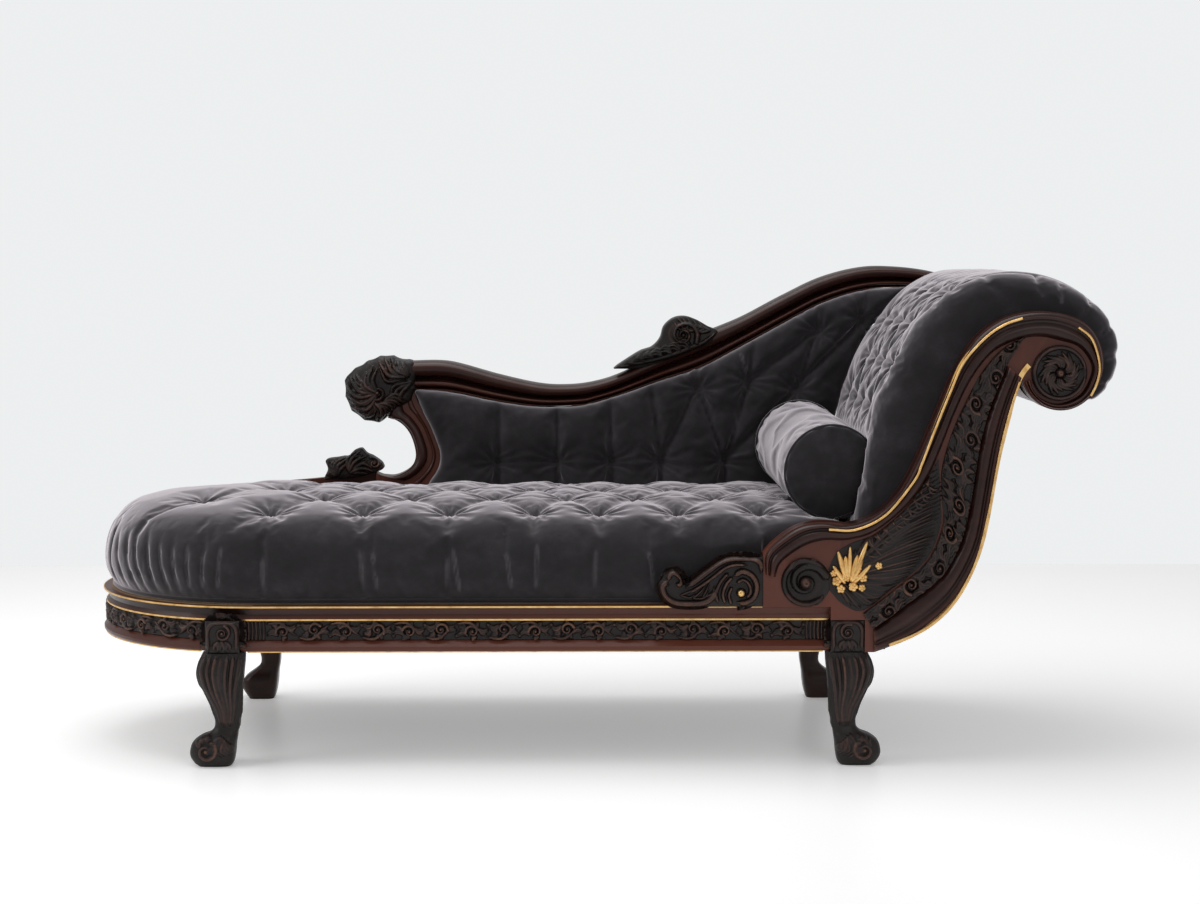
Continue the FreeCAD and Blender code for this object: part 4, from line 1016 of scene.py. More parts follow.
def makeHeadCushion():
    steps = [(-y, inset) for y, inset in headShape["edgeSteps"]]
    steps += [(y, inset) for y, inset in reversed(headShape["edgeSteps"])]
    pad = lofted("headCushion", [headRing(y, inset) for y, inset in steps])
    behind = couch["backFrontY"] - 0.0006
    frameEnd = 0.826           # the back frame reaches this far along X
    applied(pad, "REMESH", mode="VOXEL", voxel_size=tufting["voxel"])
    hollowed(pad, [bolsterCutter(), blockCutter((0.0, behind, 0.0), (frameEnd, 1.0, 2.0))])
    applied(pad, "REMESH", mode="VOXEL", voxel_size=tufting["voxel"])
    applied(pad, "SMOOTH", iterations=2, factor=0.5)
    buttons = islands("head_buttons")
    middle = np.array((0.72, 0.0, 0.60))

    def outwards(place, axis):
        towards = (place - middle) @ axis
        return axis if towards > 0 or axis[0] < -0.3 and towards > -0.02 else -axis

    places = surfacePlaces(pad, buttons, outwards)
    folds = []
    for i, p in enumerate(places):
        for q in places[i + 1:]:
            apart = np.linalg.norm(p - q)
            if apart < headShape["rowReach"] and 0.03 < abs(p[1] - q[1]) < 0.09:
                folds.append((p, q, *headShape["fold"]))
    line = smoothRun(fromHead(headShape["face"]), 300)
    travelled = distances(line)
    seam = [np.array((x, headShape["borderY"], z)) for x, z in line[8:290:12]]
    seams = [(a, b, *headShape["seam"]) for a, b in zip(seam, seam[1:])]
    gathers = []
    for distance, depth, width in headShape["borderGathers"]:
        x = np.interp(distance, travelled, line[:, 0])
        z = np.interp(distance, travelled, line[:, 1])
        toRoll = np.array((couch["rollX"] - x, couch["rollZ"] - z))
        toRoll *= headShape["gatherReach"] / np.linalg.norm(toRoll)
        rim = np.array((x + 0.15 * toRoll[0], -0.288, z + 0.15 * toRoll[1]))
        gathers.append((np.array((x, headShape["borderY"], z)), rim, depth, depth, width))
        gathers.append((rim, np.array((x + toRoll[0], -0.298, z + toRoll[1])), depth * 0.7, depth, width))
    points, normals = getPoints(pad), getNormals(pad)
    outer = edgeDistance(points, line[::3]) < 0.03 + 0.03 * (points[:, 1] < headShape["borderY"])
    depth = tufted(points, places, folds, tufting["headButtonDepth"], tufting["headButtonReach"])
    room = ~insideBolster(points, bolsterShape["bedReach"])
    depth = np.maximum(depth, tufted(points, [], seams + gathers, 0.0, 0.01))
    depth[~(outer & room)] = 0.0
    points -= normals * depth[:, None]
    setPoints(pad, points)
    pinned = heldAt(points, folds, places, headShape["heldReach"])
    pinned[~outer | ~room] = 1.0

    def blocked(p):
        sides = np.abs(p[:, 1]) > headShape["halfWidth"] + 0.0002
        frameSide = (p[:, 1] > behind) & (p[:, 0] < frameEnd)
        return insideBolster(p, bolsterShape["clearance"]) | sides | frameSide

    inflated(pad, pinned, headShape["swell"], forbidden=blocked)
    applied(pad, "SUBSURF", levels=1, render_levels=1)
    points, normals = getPoints(pad), getNormals(pad)
    facing = (edgeDistance(points, line[::3]) < 0.034) & ~insideBolster(points, bolsterShape["bedEdge"])
    fine = creased(points, normals, places, folds + seams + gathers, 7)
    points += normals * np.where(facing, fine, 0.0)[:, None]
    setPoints(pad, points)
    # painted highlights along the seams and gathers
    paintFoldHighlights(pad, seams + gathers)
    dressed(pad, "velvet", "head_pad")
    print("head cushion made,", len(pad.data.vertices), "points")


makeHeadCushion()


# Loose bolster with a corded seam round each end
def makeBolster():
    shape = bolsterShape
    length = (shape["rear"] - shape["front"]).length
    rings = []
    flat = shape["radius"] - shape["corner"]
    for share in np.linspace(0.12, 1.0, 9):
        rings.append((flat * share, -shape["crown"] * (1 - share ** 2)))
    for turn in np.linspace(0.0, math.pi / 2, 6)[1:]:
        rings.append((flat + shape["corner"] * math.sin(turn), shape["corner"] * (1 - math.cos(turn))))
    middle = [(shape["radius"], z) for z in np.linspace(shape["corner"], length - shape["corner"], 46)[1:-1]]
    profile = rings + middle + [(r, length - z) for r, z in reversed(rings)]
    turns = [2 * math.pi * k / 96 for k in range(96)]
    body = lofted("bolsterCushion",
                  [[(r * math.cos(a), r * math.sin(a), z) for a in turns] for r, z in profile])
    points = getPoints(body)
    angle = np.arctan2(points[:, 1], points[:, 0])
    radius = np.hypot(points[:, 0], points[:, 1])
    toEnd = np.minimum(points[:, 2] - shape["corner"], length - shape["corner"] - points[:, 2])
    gather = np.exp(-np.clip(toEnd, 0.0, 1.0) / 0.030) * (toEnd > -0.001)
    draw = random.Random(11)
    waves = sum(draw.uniform(0.4, 1.0) * np.sin(n * angle + draw.uniform(0, 6.28)) for n in (13, 19, 27))
    slack = sum(draw.uniform(0.3, 1.0) * np.sin(n * angle + points[:, 2] * k + draw.uniform(0, 6.28))
                for n, k in ((2, 30), (3, -47), (5, 61)))
    swell = gather * waves * shape["gatherHeight"] + slack * shape["slackHeight"] * (toEnd > 0)
    factor = 1 + (swell - shape["inset"]) / np.maximum(radius, 0.02)
    onEnd = toEnd < -0.001
    ends = sum(draw.uniform(0.4, 1.0) * np.sin(n * angle + draw.uniform(0, 6.28)) for n in (7, 11, 16))
    way = np.where(points[:, 2] < length / 2, 1, -1)
    points[:, 2] += onEnd * ends * shape["endWrinkles"] * (radius / shape["radius"]) ** 3 * way
    points[:, :2] *= factor[:, None]
    setPoints(body, points)
    pinned = np.zeros(len(points))
    pinned[np.abs(toEnd) < 0.004] = 1.0
    inflated(body, pinned, 0.0022, pressure=1.5, shrink=-0.03)
    applied(body, "SUBSURF", levels=1, render_levels=1)
    body.data.transform(bolsterFrame())
    dressed(body, "velvet", "bolster", body="bolster")
    cords = []
    for z in (shape["corner"] * 0.6, length - shape["corner"] * 0.6):
        bpy.ops.mesh.primitive_torus_add(major_segments=110, minor_segments=12,
                                         major_radius=shape["radius"] - shape["inset"], minor_radius=0.0033)
        cord = bpy.context.object
        cord.data.transform(bolsterFrame() @ Matrix.Translation((0.0, 0.0, z)))
        cords.append(cord)
    dressed(joined("bolsterCord", cords), "velvet", "bolster_piping", body="bolster")
    print("bolster made")


makeBolster()


# Covered buttons: one is turned, then copied into every tuft
buttonShape = {
    "radius": 0.0112,
    "height": 0.0085,
}


def makeButtonPattern():
    bpy.ops.mesh.primitive_uv_sphere_add(segments=20, ring_count=10, radius=1.0)
    button = bpy.context.object
    bpy.ops.object.mode_set(mode="EDIT")
    bpy.ops.mesh.select_all(action="SELECT")
    bpy.ops.mesh.bisect(plane_co=(0.0, 0.0, -0.35), plane_no=(0.0, 0.0, 1.0), clear_inner=True, use_fill=True)
    bpy.ops.object.mode_set(mode="OBJECT")
    points = getPoints(button)
    points[:, 2] = (points[:, 2] + 0.35) / 1.35
    points *= (buttonShape["radius"], buttonShape["radius"], buttonShape["height"])
    setPoints(button, points)
    return button


def makeButtons(node, name, outwards):
    pattern = makeButtonPattern()
    made = []
    for middle, axis in islands(node):
        out = Vector(outwards(middle, axis))
        base = Vector(middle) - out * 0.0032
        turn = out.to_track_quat("Z", "Y").to_matrix().to_4x4()
        made.append(copied(pattern, Matrix.Translation(base) @ turn))
    bpy.data.objects.remove(pattern)
    dressed(joined(name, made), "velvet", node)


makeButtons("seat_buttons", "seatButtons", lambda middle, axis: (0, 0, 1))
makeButtons("back_buttons", "backButtons", lambda middle, axis: (0, -1, 0))
makeButtons("head_buttons", "headButtons",
            lambda middle, axis: axis if (middle - np.array((0.80, 0.0, 0.55))) @ axis > 0 else -axis)
print("buttons made")


# Carving: ridges left by a gouge, each a line with a width and a height that taper
class Carving:
    def __init__(self, seed):
        self.ridges = []
        self.draw = random.Random(seed)

    def ridge(self, points, width, height, swell="leaf"):
        points = np.asarray(points, float)
        count = max(6, int(lengthOf(points) / (0.3 * width)))
        line = smoothRun(points, count)
        share = np.linspace(0.0, 1.0, count)
        if swell == "leaf":
            taper = np.clip(np.sin(math.pi * share ** 0.7) ** 0.6, 0.18, 1.0)
        elif swell == "even":
            taper = np.clip(np.minimum(share, 1 - share) * 14, 0.3, 1.0)
        else:
            taper = 1.0 - 0.6 * share
        height *= self.draw.uniform(0.78, 1.12)
        self.ridges.append((line, width * taper, height * (0.55 + 0.45 * taper)))

    def curl(self, centre, radius, start, turns, width, height):
        angles = np.linspace(0.0, 2 * math.pi * abs(turns), 18)
        turn = start + np.sign(turns) * angles
        size = radius * np.exp(-angles * 1.45 / (2 * math.pi * abs(turns)))
        line = np.column_stack([centre[0] + size * np.cos(turn), centre[1] + size * np.sin(turn)])
        self.ridge(line, width, height, "curl")
        self.boss(centre, width * 0.8, height)

    def boss(self, centre, radius, height):
        self.ridges.append((np.array([centre]), np.array([radius]), np.array([height])))

    def leaf(self, start, end, bend, width, height, veins=3):
        start, end = np.asarray(start, float), np.asarray(end, float)
        along = end - start
        side = np.array((-along[1], along[0]))
        for k in range(veins):
            lean = (k - (veins - 1) / 2) / max(1, veins - 1)
            middle = (start + end) / 2 + side * (bend + 0.34 * lean)
            tip = end - along * 0.22 * abs(lean) + side * (0.30 * lean - 0.15 * bend)
            self.ridge((start, middle, tip), width, height * (1.0 - 0.25 * abs(lean)))

    def heights(self, places):
        found = np.zeros(len(places))
        for line, widths, tall in self.ridges:
            reach = widths.max()
            low, high = line.min(axis=0) - reach, line.max(axis=0) + reach
            near = np.flatnonzero(np.all((places > low) & (places < high), axis=1))
            if len(near):
                apart = np.linalg.norm(places[near, None] - line[None], axis=2)
                share = apart / widths
                groove = 1 - 0.16 * np.exp(-(share / 0.16) ** 2)
                level = tall * np.clip(1 - share ** 2, 0.0, 1.0) ** 0.7 * groove
                found[near] = np.maximum(found[near], level.max(axis=1))
        return found

    def shares(self, tall, count):       # heights as shares of the highest, with plain sides after them
        found = np.full(count, 0.3)
        found[:len(tall)] = tall / max(ridge[2].max() for ridge in self.ridges)
        return found


def markRaised(piece, values):           # how far each point stands proud, for the painted shade in the hollows and the lighter, partly worn ridges
    layer = piece.data.attributes.new("raised", "FLOAT", "POINT")
    layer.data.foreach_set("value", np.asarray(values, float))


# a relief with its thickness behind it: turned where its rows and columns run the other way round
def gridPiece(name, columns, rows, points, raised, thick, turned=False):
    bpy.ops.mesh.primitive_grid_add(x_subdivisions=columns - 1, y_subdivisions=rows - 1)
    piece = bpy.context.object
    piece.name = name
    setPoints(piece, points)
    markRaised(piece, raised)
    if turned:
        piece.data.flip_normals()
    return applied(piece, "SOLIDIFY", thickness=thick, offset=-1.0)


def stripGrid(first, second, columns, rows):   # x, z of a grid between two runs, and its own measures
    a, b = smoothRun(first, columns), smoothRun(second, columns)
    across = np.linspace(0.0, 1.0, rows)
    flat = a[None] * (1 - across[:, None, None]) + b[None] * across[:, None, None]
    widths = np.linalg.norm(b - a, axis=1)
    u = np.broadcast_to(distances((a + b) / 2), (rows, columns))
    v = (across[:, None] - 0.5) * widths
    return flat.reshape(-1, 2), np.column_stack([u.ravel(), v.ravel()]), np.repeat(across, columns)


# a carved strip between two runs: local where the carving is drawn along the strip, not in X and Z
def relief(name, first, second, carving, front, thick=0.004, dome=0.0, local=False, step=0.0015,
           turned=False):
    first, second = np.asarray(first), np.asarray(second)
    length = max(lengthOf(first), lengthOf(second))
    breadth = np.linalg.norm(smoothRun(first, 30) - smoothRun(second, 30), axis=1).max()
    columns, rows = int(length / step), max(12, int(breadth / step))
    flat, own, across = stripGrid(first, second, columns, rows)
    tall = carving.heights(own if local else flat)
    edge = np.sqrt(np.clip(1 - (2 * across - 1) ** 2, 0.0, 1.0))
    lift = tall * np.clip(edge * 2.2, 0.0, 1.0) + dome * edge
    points = np.column_stack([flat[:, 0], front - lift, flat[:, 1]])
    return gridPiece(name, columns, rows, points, carving.shares(tall, len(tall)), thick, turned)


def mirroredTwin(piece, name):           # the same piece on the rear side
    twin = copied(piece, Matrix.Diagonal((1.0, -1.0, 1.0, 1.0)))
    twin.name = name
    return twin


def moulded(name, first, second, profile, columns, front, rear):   # closed moulding between two runs
    a, b = smoothRun(first, columns), smoothRun(second, columns)
    shape = smoothRun(profile, 46)
    ring = [(t, y) for t, y in shape] + [(1.0, 0.0), (0.0, 0.0)]
    rings = []
    for p, q in zip(a, b):
        rings.append([(p[0] * (1 - t) + q[0] * t, rear + (front - rear) * y, p[1] * (1 - t) + q[1] * t)
                      for t, y in ring])
    return lofted(name, rings)


def corded(name, points, radius, sides=10, closed=False):   # a thin round line along 3-D points
    curve = bpy.data.curves.new(name, "CURVE")
    curve.dimensions = "3D"
    spline = curve.splines.new("POLY")
    spline.points.add(len(points) - 1)
    for point, place in zip(spline.points, points):
        point.co = (*place, 1.0)
    spline.use_cyclic_u = closed
    curve.bevel_depth = radius
    curve.bevel_resolution = sides // 4
    curve.use_fill_caps = True
    cord = bpy.data.objects.new(name, curve)
    bpy.context.scene.collection.objects.link(cord)
    useOnly(cord)
    bpy.ops.object.convert(target="MESH")
    return bpy.context.object


# Crest rail and end scroll: a broad roll above, a groove, a lower roll and a thin bead
crestShape = {
    "topPost": ((-64, 413), (-3, 414), (39, 408), (121, 385), (203, 367), (260, 364)),
    "topHead": ((-500, 370), (-445, 387), (-362, 428), (-280, 468), (-198, 502), (-116, 545), (-34, 584),
                (49, 605), (120, 606), (190, 597), (250, 578), (300, 550), (322, 535)),
    "lowHead": ((300, 512), (262, 532), (205, 552), (130, 563), (48, 557), (-34, 531), (-116, 488),
                (-198, 443), (-280, 400), (-363, 373), (-445, 344), (-500, 328)),
    "lowPost": ((286, 322), (203, 320), (121, 330), (39, 347), (-3, 352), (-64, 353)),
    "postInner": ((-54, 357), (-34, 307), (-20, 280), (-8, 249), (0, 224), (-2, 203), (-10, 184), (-26, 158)),
    "postOuter": ((-118, 178), (-97, 177), (-77, 184), (-60, 197), (-51, 218), (-53, 238), (-65, 269),
                  (-86, 290), (-107, 297), (-107, 330)),
    # share of the way across and of the thickness
    "profile": ((0.0, 0.28), (0.015, 0.60), (0.07, 0.86), (0.18, 1.0), (0.34, 1.0), (0.47, 0.90),
                (0.54, 0.66), (0.58, 0.60), (0.63, 0.72), (0.72, 0.88), (0.82, 0.84), (0.885, 0.62),
                (0.905, 0.55), (0.93, 0.66), (0.965, 0.72), (0.99, 0.62), (1.0, 0.40)),
    "front": 0.2455,
    "rear": 0.298,
    "rearLap": 0.0006,         # the end scroll covers the plain one behind it by this much
}


def makeCrest():
    top = fromPost(crestShape["topPost"]) + fromHead(crestShape["topHead"])
    low = fromHead(crestShape["lowHead"]) + fromPost(crestShape["lowPost"])
    crest = moulded("crestRail", top, low[::-1], crestShape["profile"], 150, crestShape["front"],
                    crestShape["rear"])
    dressed(crest, "polished", "crest_rail", sharpAt=50)
    inner = fromPost(crestShape["postInner"])
    outer = fromPost(crestShape["postOuter"])
    post = moulded("endScroll", outer[::-1], inner, crestShape["profile"], 60, crestShape["front"],
                   crestShape["rear"] + crestShape["rearLap"])
    dressed(post, "polished", sharpAt=50)       # the plain scroll stays behind it


makeCrest()
print("crest made")


# Leafy knuckle at the end of the crest, and the scroll halfway along it
knuckleShape = {
    "outline": ((-49, 359), (-60, 332), (-93, 312), (-118, 290), (-143, 289), (-163, 297), (-184, 316),
                (-194, 343), (-195, 374), (-184, 392), (-142, 417), (-108, 425), (-74, 417), (-49, 409)),
    "centre": (-118, 358),
    "front": 0.254,
    "rear": 0.298,
    "dome": 0.020,
    "scallops": 15,
}
midScrollShape = {
    "outline": ((-460, 398), (-405, 433), (-380, 442), (-363, 460), (-355, 484), (-336, 501), (-312, 505),
                (-287, 497), (-264, 484), (-246, 474), (-262, 450), (-300, 434), (-340, 418), (-400, 400)),
    "centre": (-325, 452),
    "front": 0.2465,
    "rear": 0.298,
    "dome": 0.006,
    "scallops": 0,
}
rearLeafShape = {
    "outline": ((-242, 168), (-234, 190), (-236, 210), (-210, 216), (-190, 219), (-177, 231), (-163, 234),
                (-149, 223), (-128, 212), (-118, 201), (-124, 188), (-180, 172)),
    "centre": (-180, 194),
    "front": 0.262,
    "rear": 0.290,
    "dome": 0.006,
    "scallops": 11,
}


def rearLeafCarving():
    carving = Carving(23)
    root = atPost(-215, 176)
    carving.curl(atPost(-136, 204), 0.014, 2.0, -1.3, 0.0050, 0.010)
    for x, z in ((-232, 208), (-212, 214), (-190, 216), (-166, 230), (-152, 220), (-132, 186)):
        carving.leaf(root if x < -180 else atPost(-188, 184), atPost(x, z), 0.15, 0.0050, 0.010)
    return carving


def knuckleCarving():
    carving = Carving(21)
    eye = atPost(-126, 350)
    ear = atPost(-118, 308)
    carving.curl(eye, 0.020, 2.4, 1.5, 0.0062, 0.017)
    carving.curl(ear, 0.0155, -1.2, 1.3, 0.0055, 0.012)
    root = atPost(-62, 384)
    for k in range(9):
        tip = (-86 - 13 * k, 424 - 1.3 * k * k) if k < 6 else (-196 + 4 * (k - 6), 372 - 26 * (k - 6))
        carving.leaf(root if k < 4 else eye, atPost(*tip), 0.16 + 0.02 * k, 0.0058, 0.016, 3)
    for k in range(7):
        angle = 2.1 + 0.55 * k
        carving.leaf(onOval(eye, angle, 0.020), onOval(eye, angle + 0.5, 0.060), 0.22, 0.0052, 0.014, 3)
    carving.leaf(atPost(-56, 372), atPost(-100, 330), -0.15, 0.0055, 0.011, 3)
    return carving


def midScrollCarving():
    carving = Carving(22)
    eye = atHead(-316, 467)
    carving.curl(eye, 0.031, -0.5, 1.6, 0.0058, 0.014)
    carving.ridge(fromHead([(-252, 470), (-275, 452), (-300, 442), (-330, 430), (-370, 418), (-450, 400)]),
                  0.0058, 0.011)
    for k in range(7):
        start = atHead(-300 - 19 * k, 436 - 4.5 * k)
        end = atHead(-334 - 17 * k, 452 - 7 * k)
        carving.leaf(start, end, -0.22, 0.0042, 0.0105, 3)
    for k in range(5):
        start = atHead(-262 - 9 * k, 476 + 3 * k)
        carving.leaf(start, atHead(-290 - 12 * k, 492 + 2 * k), 0.2, 0.0036, 0.0095, 2)
    return carving


def fanned(name, centre, outline, carving, front, rear, dome, scallops=0):   # rings out to an outline
    around, rings = 260, 46
    outline = np.array(outline) - centre
    found = np.arctan2(outline[:, 1], outline[:, 0])
    order = np.argsort(found)
    angles = np.linspace(-math.pi, math.pi, around, endpoint=False)
    reach = np.interp(angles, found[order], np.linalg.norm(outline[order], axis=1), period=2 * math.pi)
    reach *= 1 - 0.035 * np.abs(np.sin(scallops * angles / 2)) if scallops else 1.0
    share = np.linspace(0.01, 1.0, rings)
    spread = share[:, None] * reach
    flat = np.column_stack([(centre[0] + spread * np.cos(angles)).ravel(),
                            (centre[1] + spread * np.sin(angles)).ravel()])
    tall = carving.heights(flat)
    rim = np.repeat(np.sqrt(1 - share ** 2.6), around)
    lift = tall * np.clip(rim * 2.0, 0.0, 1.0) + dome * rim
    points = np.column_stack([flat[:, 0], front - lift, flat[:, 1]])
    rows = [points[i * around:(i + 1) * around] for i in range(rings)]
    edge = rows[-1]
    rows += [np.column_stack([edge[:, 0], np.full(around, y), edge[:, 2]])
             for y in np.linspace(front, rear, 8)[1:]]
    piece = lofted(name, rows)
    markRaised(piece, carving.shares(tall, len(piece.data.vertices)))
    return piece


def makeCrestCarvings():
    for name, node, shape, runs, carving in (
            ("leafyKnuckle", "back_knuckle", knuckleShape, fromPost, knuckleCarving()),
            ("crestScroll", "crest_carving", midScrollShape, fromHead, midScrollCarving()),
            ("rearLeaf", "rear_leaf_carving", rearLeafShape, fromPost, rearLeafCarving())):
        outline = smoothRun(runs(shape["outline"] + shape["outline"][:1]), 220)
        piece = fanned(name, runs([shape["centre"]])[0], outline, carving, shape["front"], shape["rear"],
                       shape["dome"], shape["scallops"])
        dressed(piece, "carved", node)


makeCrestCarvings()
print("crest carvings made")


# Scrolled sides: polished ribs, gilt lines, a carved band, the eye and the volute below
sideShape = {
    "face": 0.340,
    "innerEdge": ((-194, 60), (-193, 97), (-165, 125), (-130, 146), (-90, 152), (-50, 148), (-4, 161),
                  (41, 200), (73, 254), (99, 314), (124, 376), (150, 435), (182, 484), (225, 517), (275, 531),
                  (330, 529), (378, 510), (403, 474), (408, 427), (389, 386), (355, 361), (312, 362),
                  (282, 384), (268, 408)),
    "innerStop": ((-176, 55), (-168, 78), (-146, 98), (-118, 114), (-86, 122), (-46, 122), (4, 138),
                  (62, 186), (100, 240), (124, 297), (145, 352), (171, 408), (206, 456), (246, 480),
                  (290, 489), (331, 482), (366, 470), (388, 440), (386, 414), (368, 384), (331, 369),
                  (300, 378), (284, 396), (280, 412)),
    "outerEdge": ((264, 414), (245, 362), (230, 301), (219, 240), (209, 177), (197, 110), (175, 57), (140, 3),
                  (90, -42), (50, -65), (4, -81)),
    "outerStop": ((237, 437), (207, 356), (190, 283), (177, 192), (160, 119), (125, 55), (62, 4), (2, -40)),
    "innerBead": ((-81, 142), (-32, 142), (22, 169), (71, 229), (85, 260), (102, 306), (120, 353), (137, 396),
                  (155, 439), (181, 472), (208, 497), (235, 513), (262, 522)),
    "outerBead": ((259, 408), (243, 356), (226, 284), (209, 184), (190, 98), (169, 47), (143, 5), (107, -30),
                  (70, -52), (30, -68)),
    "bandLeft": ((267, 489), (227, 466), (192, 425), (165, 374), (139, 314), (122, 247), (124, 190),
                 (125, 147), (97, 83), (34, 28), (-17, -11)),
    "bandRight": ((267, 489), (237, 437), (207, 356), (190, 283), (177, 192), (160, 119), (125, 55), (62, 4),
                  (2, -40)),
    "ribProfile": ((0.0, 0.10), (0.02, 0.45), (0.10, 0.80), (0.20, 0.86), (0.29, 0.62), (0.33, 0.55),
                   (0.38, 0.62), (0.52, 0.95), (0.66, 1.0), (0.80, 0.86), (0.92, 0.5), (1.0, 0.15)),
    "ribProud": 0.011,
    "rollBead": ((363, 506), (385, 488), (397, 461), (402, 432), (397, 405), (387, 383)),
    "beadRadius": 0.0024,
    "bandPitch": 0.060,
    "eyeAt": (831.0, 717.0),
    "eyeRadius": 50.0,
    "voluteAt": (-121, 45),
    "leafUpper": ((-80, 70), (-66, 98), (-40, 116), (4, 134), (60, 182), (98, 236), (116, 268)),
    "featherTips": ((112, 258), (120, 216), (118, 165), (108, 118), (86, 80), (56, 50), (26, 24), (-12, 2),
                    (-44, 8)),
    "leafLower": ((-78, 30), (-52, 4), (-17, -6), (34, 32), (96, 86), (121, 148), (121, 200)),
    "ground": 0.0012,          # how far the carvings' ground stands proud of the panel
}


def bandCarving(length):       # overlapping leaf scrolls down the side, in measures along and across the band
    carving = Carving(31)
    draw = carving.draw
    steps = int(length / sideShape["bandPitch"])
    for k in range(steps + 1):
        u = (k + 0.5) * sideShape["bandPitch"]
        side = 1 if k % 2 else -1
        centre = (u, side * 0.007)
        carving.curl(centre, 0.0175, draw.uniform(0, 6.28), side * 1.4, 0.0052, 0.0120)
        for j in range(7):
            angle = side * (0.6 + 0.9 * j) + draw.uniform(-0.2, 0.2)
            start = onOval(centre, angle, 0.015)
            end = onOval(centre, angle + 0.7 * side, 0.040, 0.034)
            carving.leaf(start, end, 0.24 * side, 0.0043, draw.uniform(0.0070, 0.0110), 3)
        for j in range(3):
            start = (u - 0.03 + 0.018 * j, -side * 0.030)
            carving.leaf(start, (start[0] + 0.022, -side * 0.008), 0.3 * side, 0.0046, 0.0095, 3)
    for edge in (-1, 1):
        for k in range(int(length / 0.0058)):
            carving.boss((0.0058 * k, edge * (0.020 + 0.012 * min(1.0, 0.0058 * k / 0.25))), 0.0026, 0.0045)
    return carving


def eyeCarving(x, z):
    carving = Carving(32)
    carving.boss((x, z), 0.0085, 0.0125)
    for k in range(6):
        angle = 2 * math.pi * k / 6
        for lean, reach in ((0.0, 0.041), (0.26, 0.038), (0.5, 0.033)):
            points = [onOval((x, z), angle + lean + w, r)
                      for r, w in ((0.010, 0.0), (0.022, 0.42), (reach, 1.25))]
            carving.ridge(points, 0.0050, 0.0105)
    circle = [onOval((x, z), a, 0.0455) for a in np.linspace(0, 6.2832, 40)]
    carving.ridge(circle, 0.0042, 0.008, "even")
    return carving


def voluteCarving(x, z):
    carving = Carving(33)
    carving.curl((x, z), 0.0375, 0.35, 1.15, 0.0092, 0.014)
    carving.boss((x, z), 0.0125, 0.018)
    rim = [onOval((x, z), a, 0.0395) for a in np.linspace(0.5, 5.6, 24)]
    carving.ridge(rim, 0.0052, 0.011, "even")
    carving.leaf((x + 0.010, z + 0.038), (x + 0.058, z + 0.062), 0.2, 0.0065, 0.013, 3)
    carving.leaf((x - 0.030, z + 0.022), (x + 0.012, z + 0.052), 0.25, 0.0060, 0.012, 3)
    carving.leaf((x + 0.030, z - 0.028), (x - 0.010, z - 0.044), 0.2, 0.0055, 0.010, 2)
    return carving


def leafCarving():             # long feathers fanning up and to the head end
    carving = Carving(34)
    root = atHead(-70, 50)
    tips = smoothRun(fromHead(sideShape["featherTips"]), 44)
    for k in range(44):
        share = k / 43
        tip = tips[k]
        bend = 0.16 - 0.34 * share
        start = np.array(root) + (np.array(tip) - root) * carving.draw.uniform(0.0, 0.45)
        carving.ridge([start, (start + tip) / 2 + (-bend * 0.06, bend * 0.10), tip],
                      carving.draw.uniform(0.0026, 0.0046), carving.draw.uniform(0.0035, 0.0072))
    for k in range(12):
        start = atHead(-34 + 12 * k, 66 + 14 * k)
        tip = atHead(-46 + 13 * k, 92 + 13.4 * k)
        carving.leaf(start, tip, 0.16, 0.0034, 0.0085, 3)
        tip = atHead(-4 + 11 * k, 66 + 13 * k)
        carving.leaf(start, tip, -0.2, 0.0030, 0.0075, 2)
    return carving


def discRelief(name, x, z, radius, carving, front, dome):   # a round relief in rings
    rings, around = int(radius / 0.0012), 200
    angle = np.tile(np.arange(around) * 2 * math.pi / around, rings)
    share = np.repeat(np.linspace(0.01, 1.0, rings), around)
    flat = np.column_stack([x + radius * share * np.cos(angle), z + radius * share * np.sin(angle)])
    tall = carving.heights(flat)
    lift = tall + dome * np.sqrt(1 - share ** 2)
    points = np.column_stack([flat[:, 0], front - lift, flat[:, 1]])
    rows = [points[i * around:(i + 1) * around] for i in range(rings)]
    back = [(p[0], front + 0.004, p[2]) for p in rows[-1]]
    piece = lofted(name, [*rows, back])
    markRaised(piece, carving.shares(tall, len(piece.data.vertices)))
    return piece


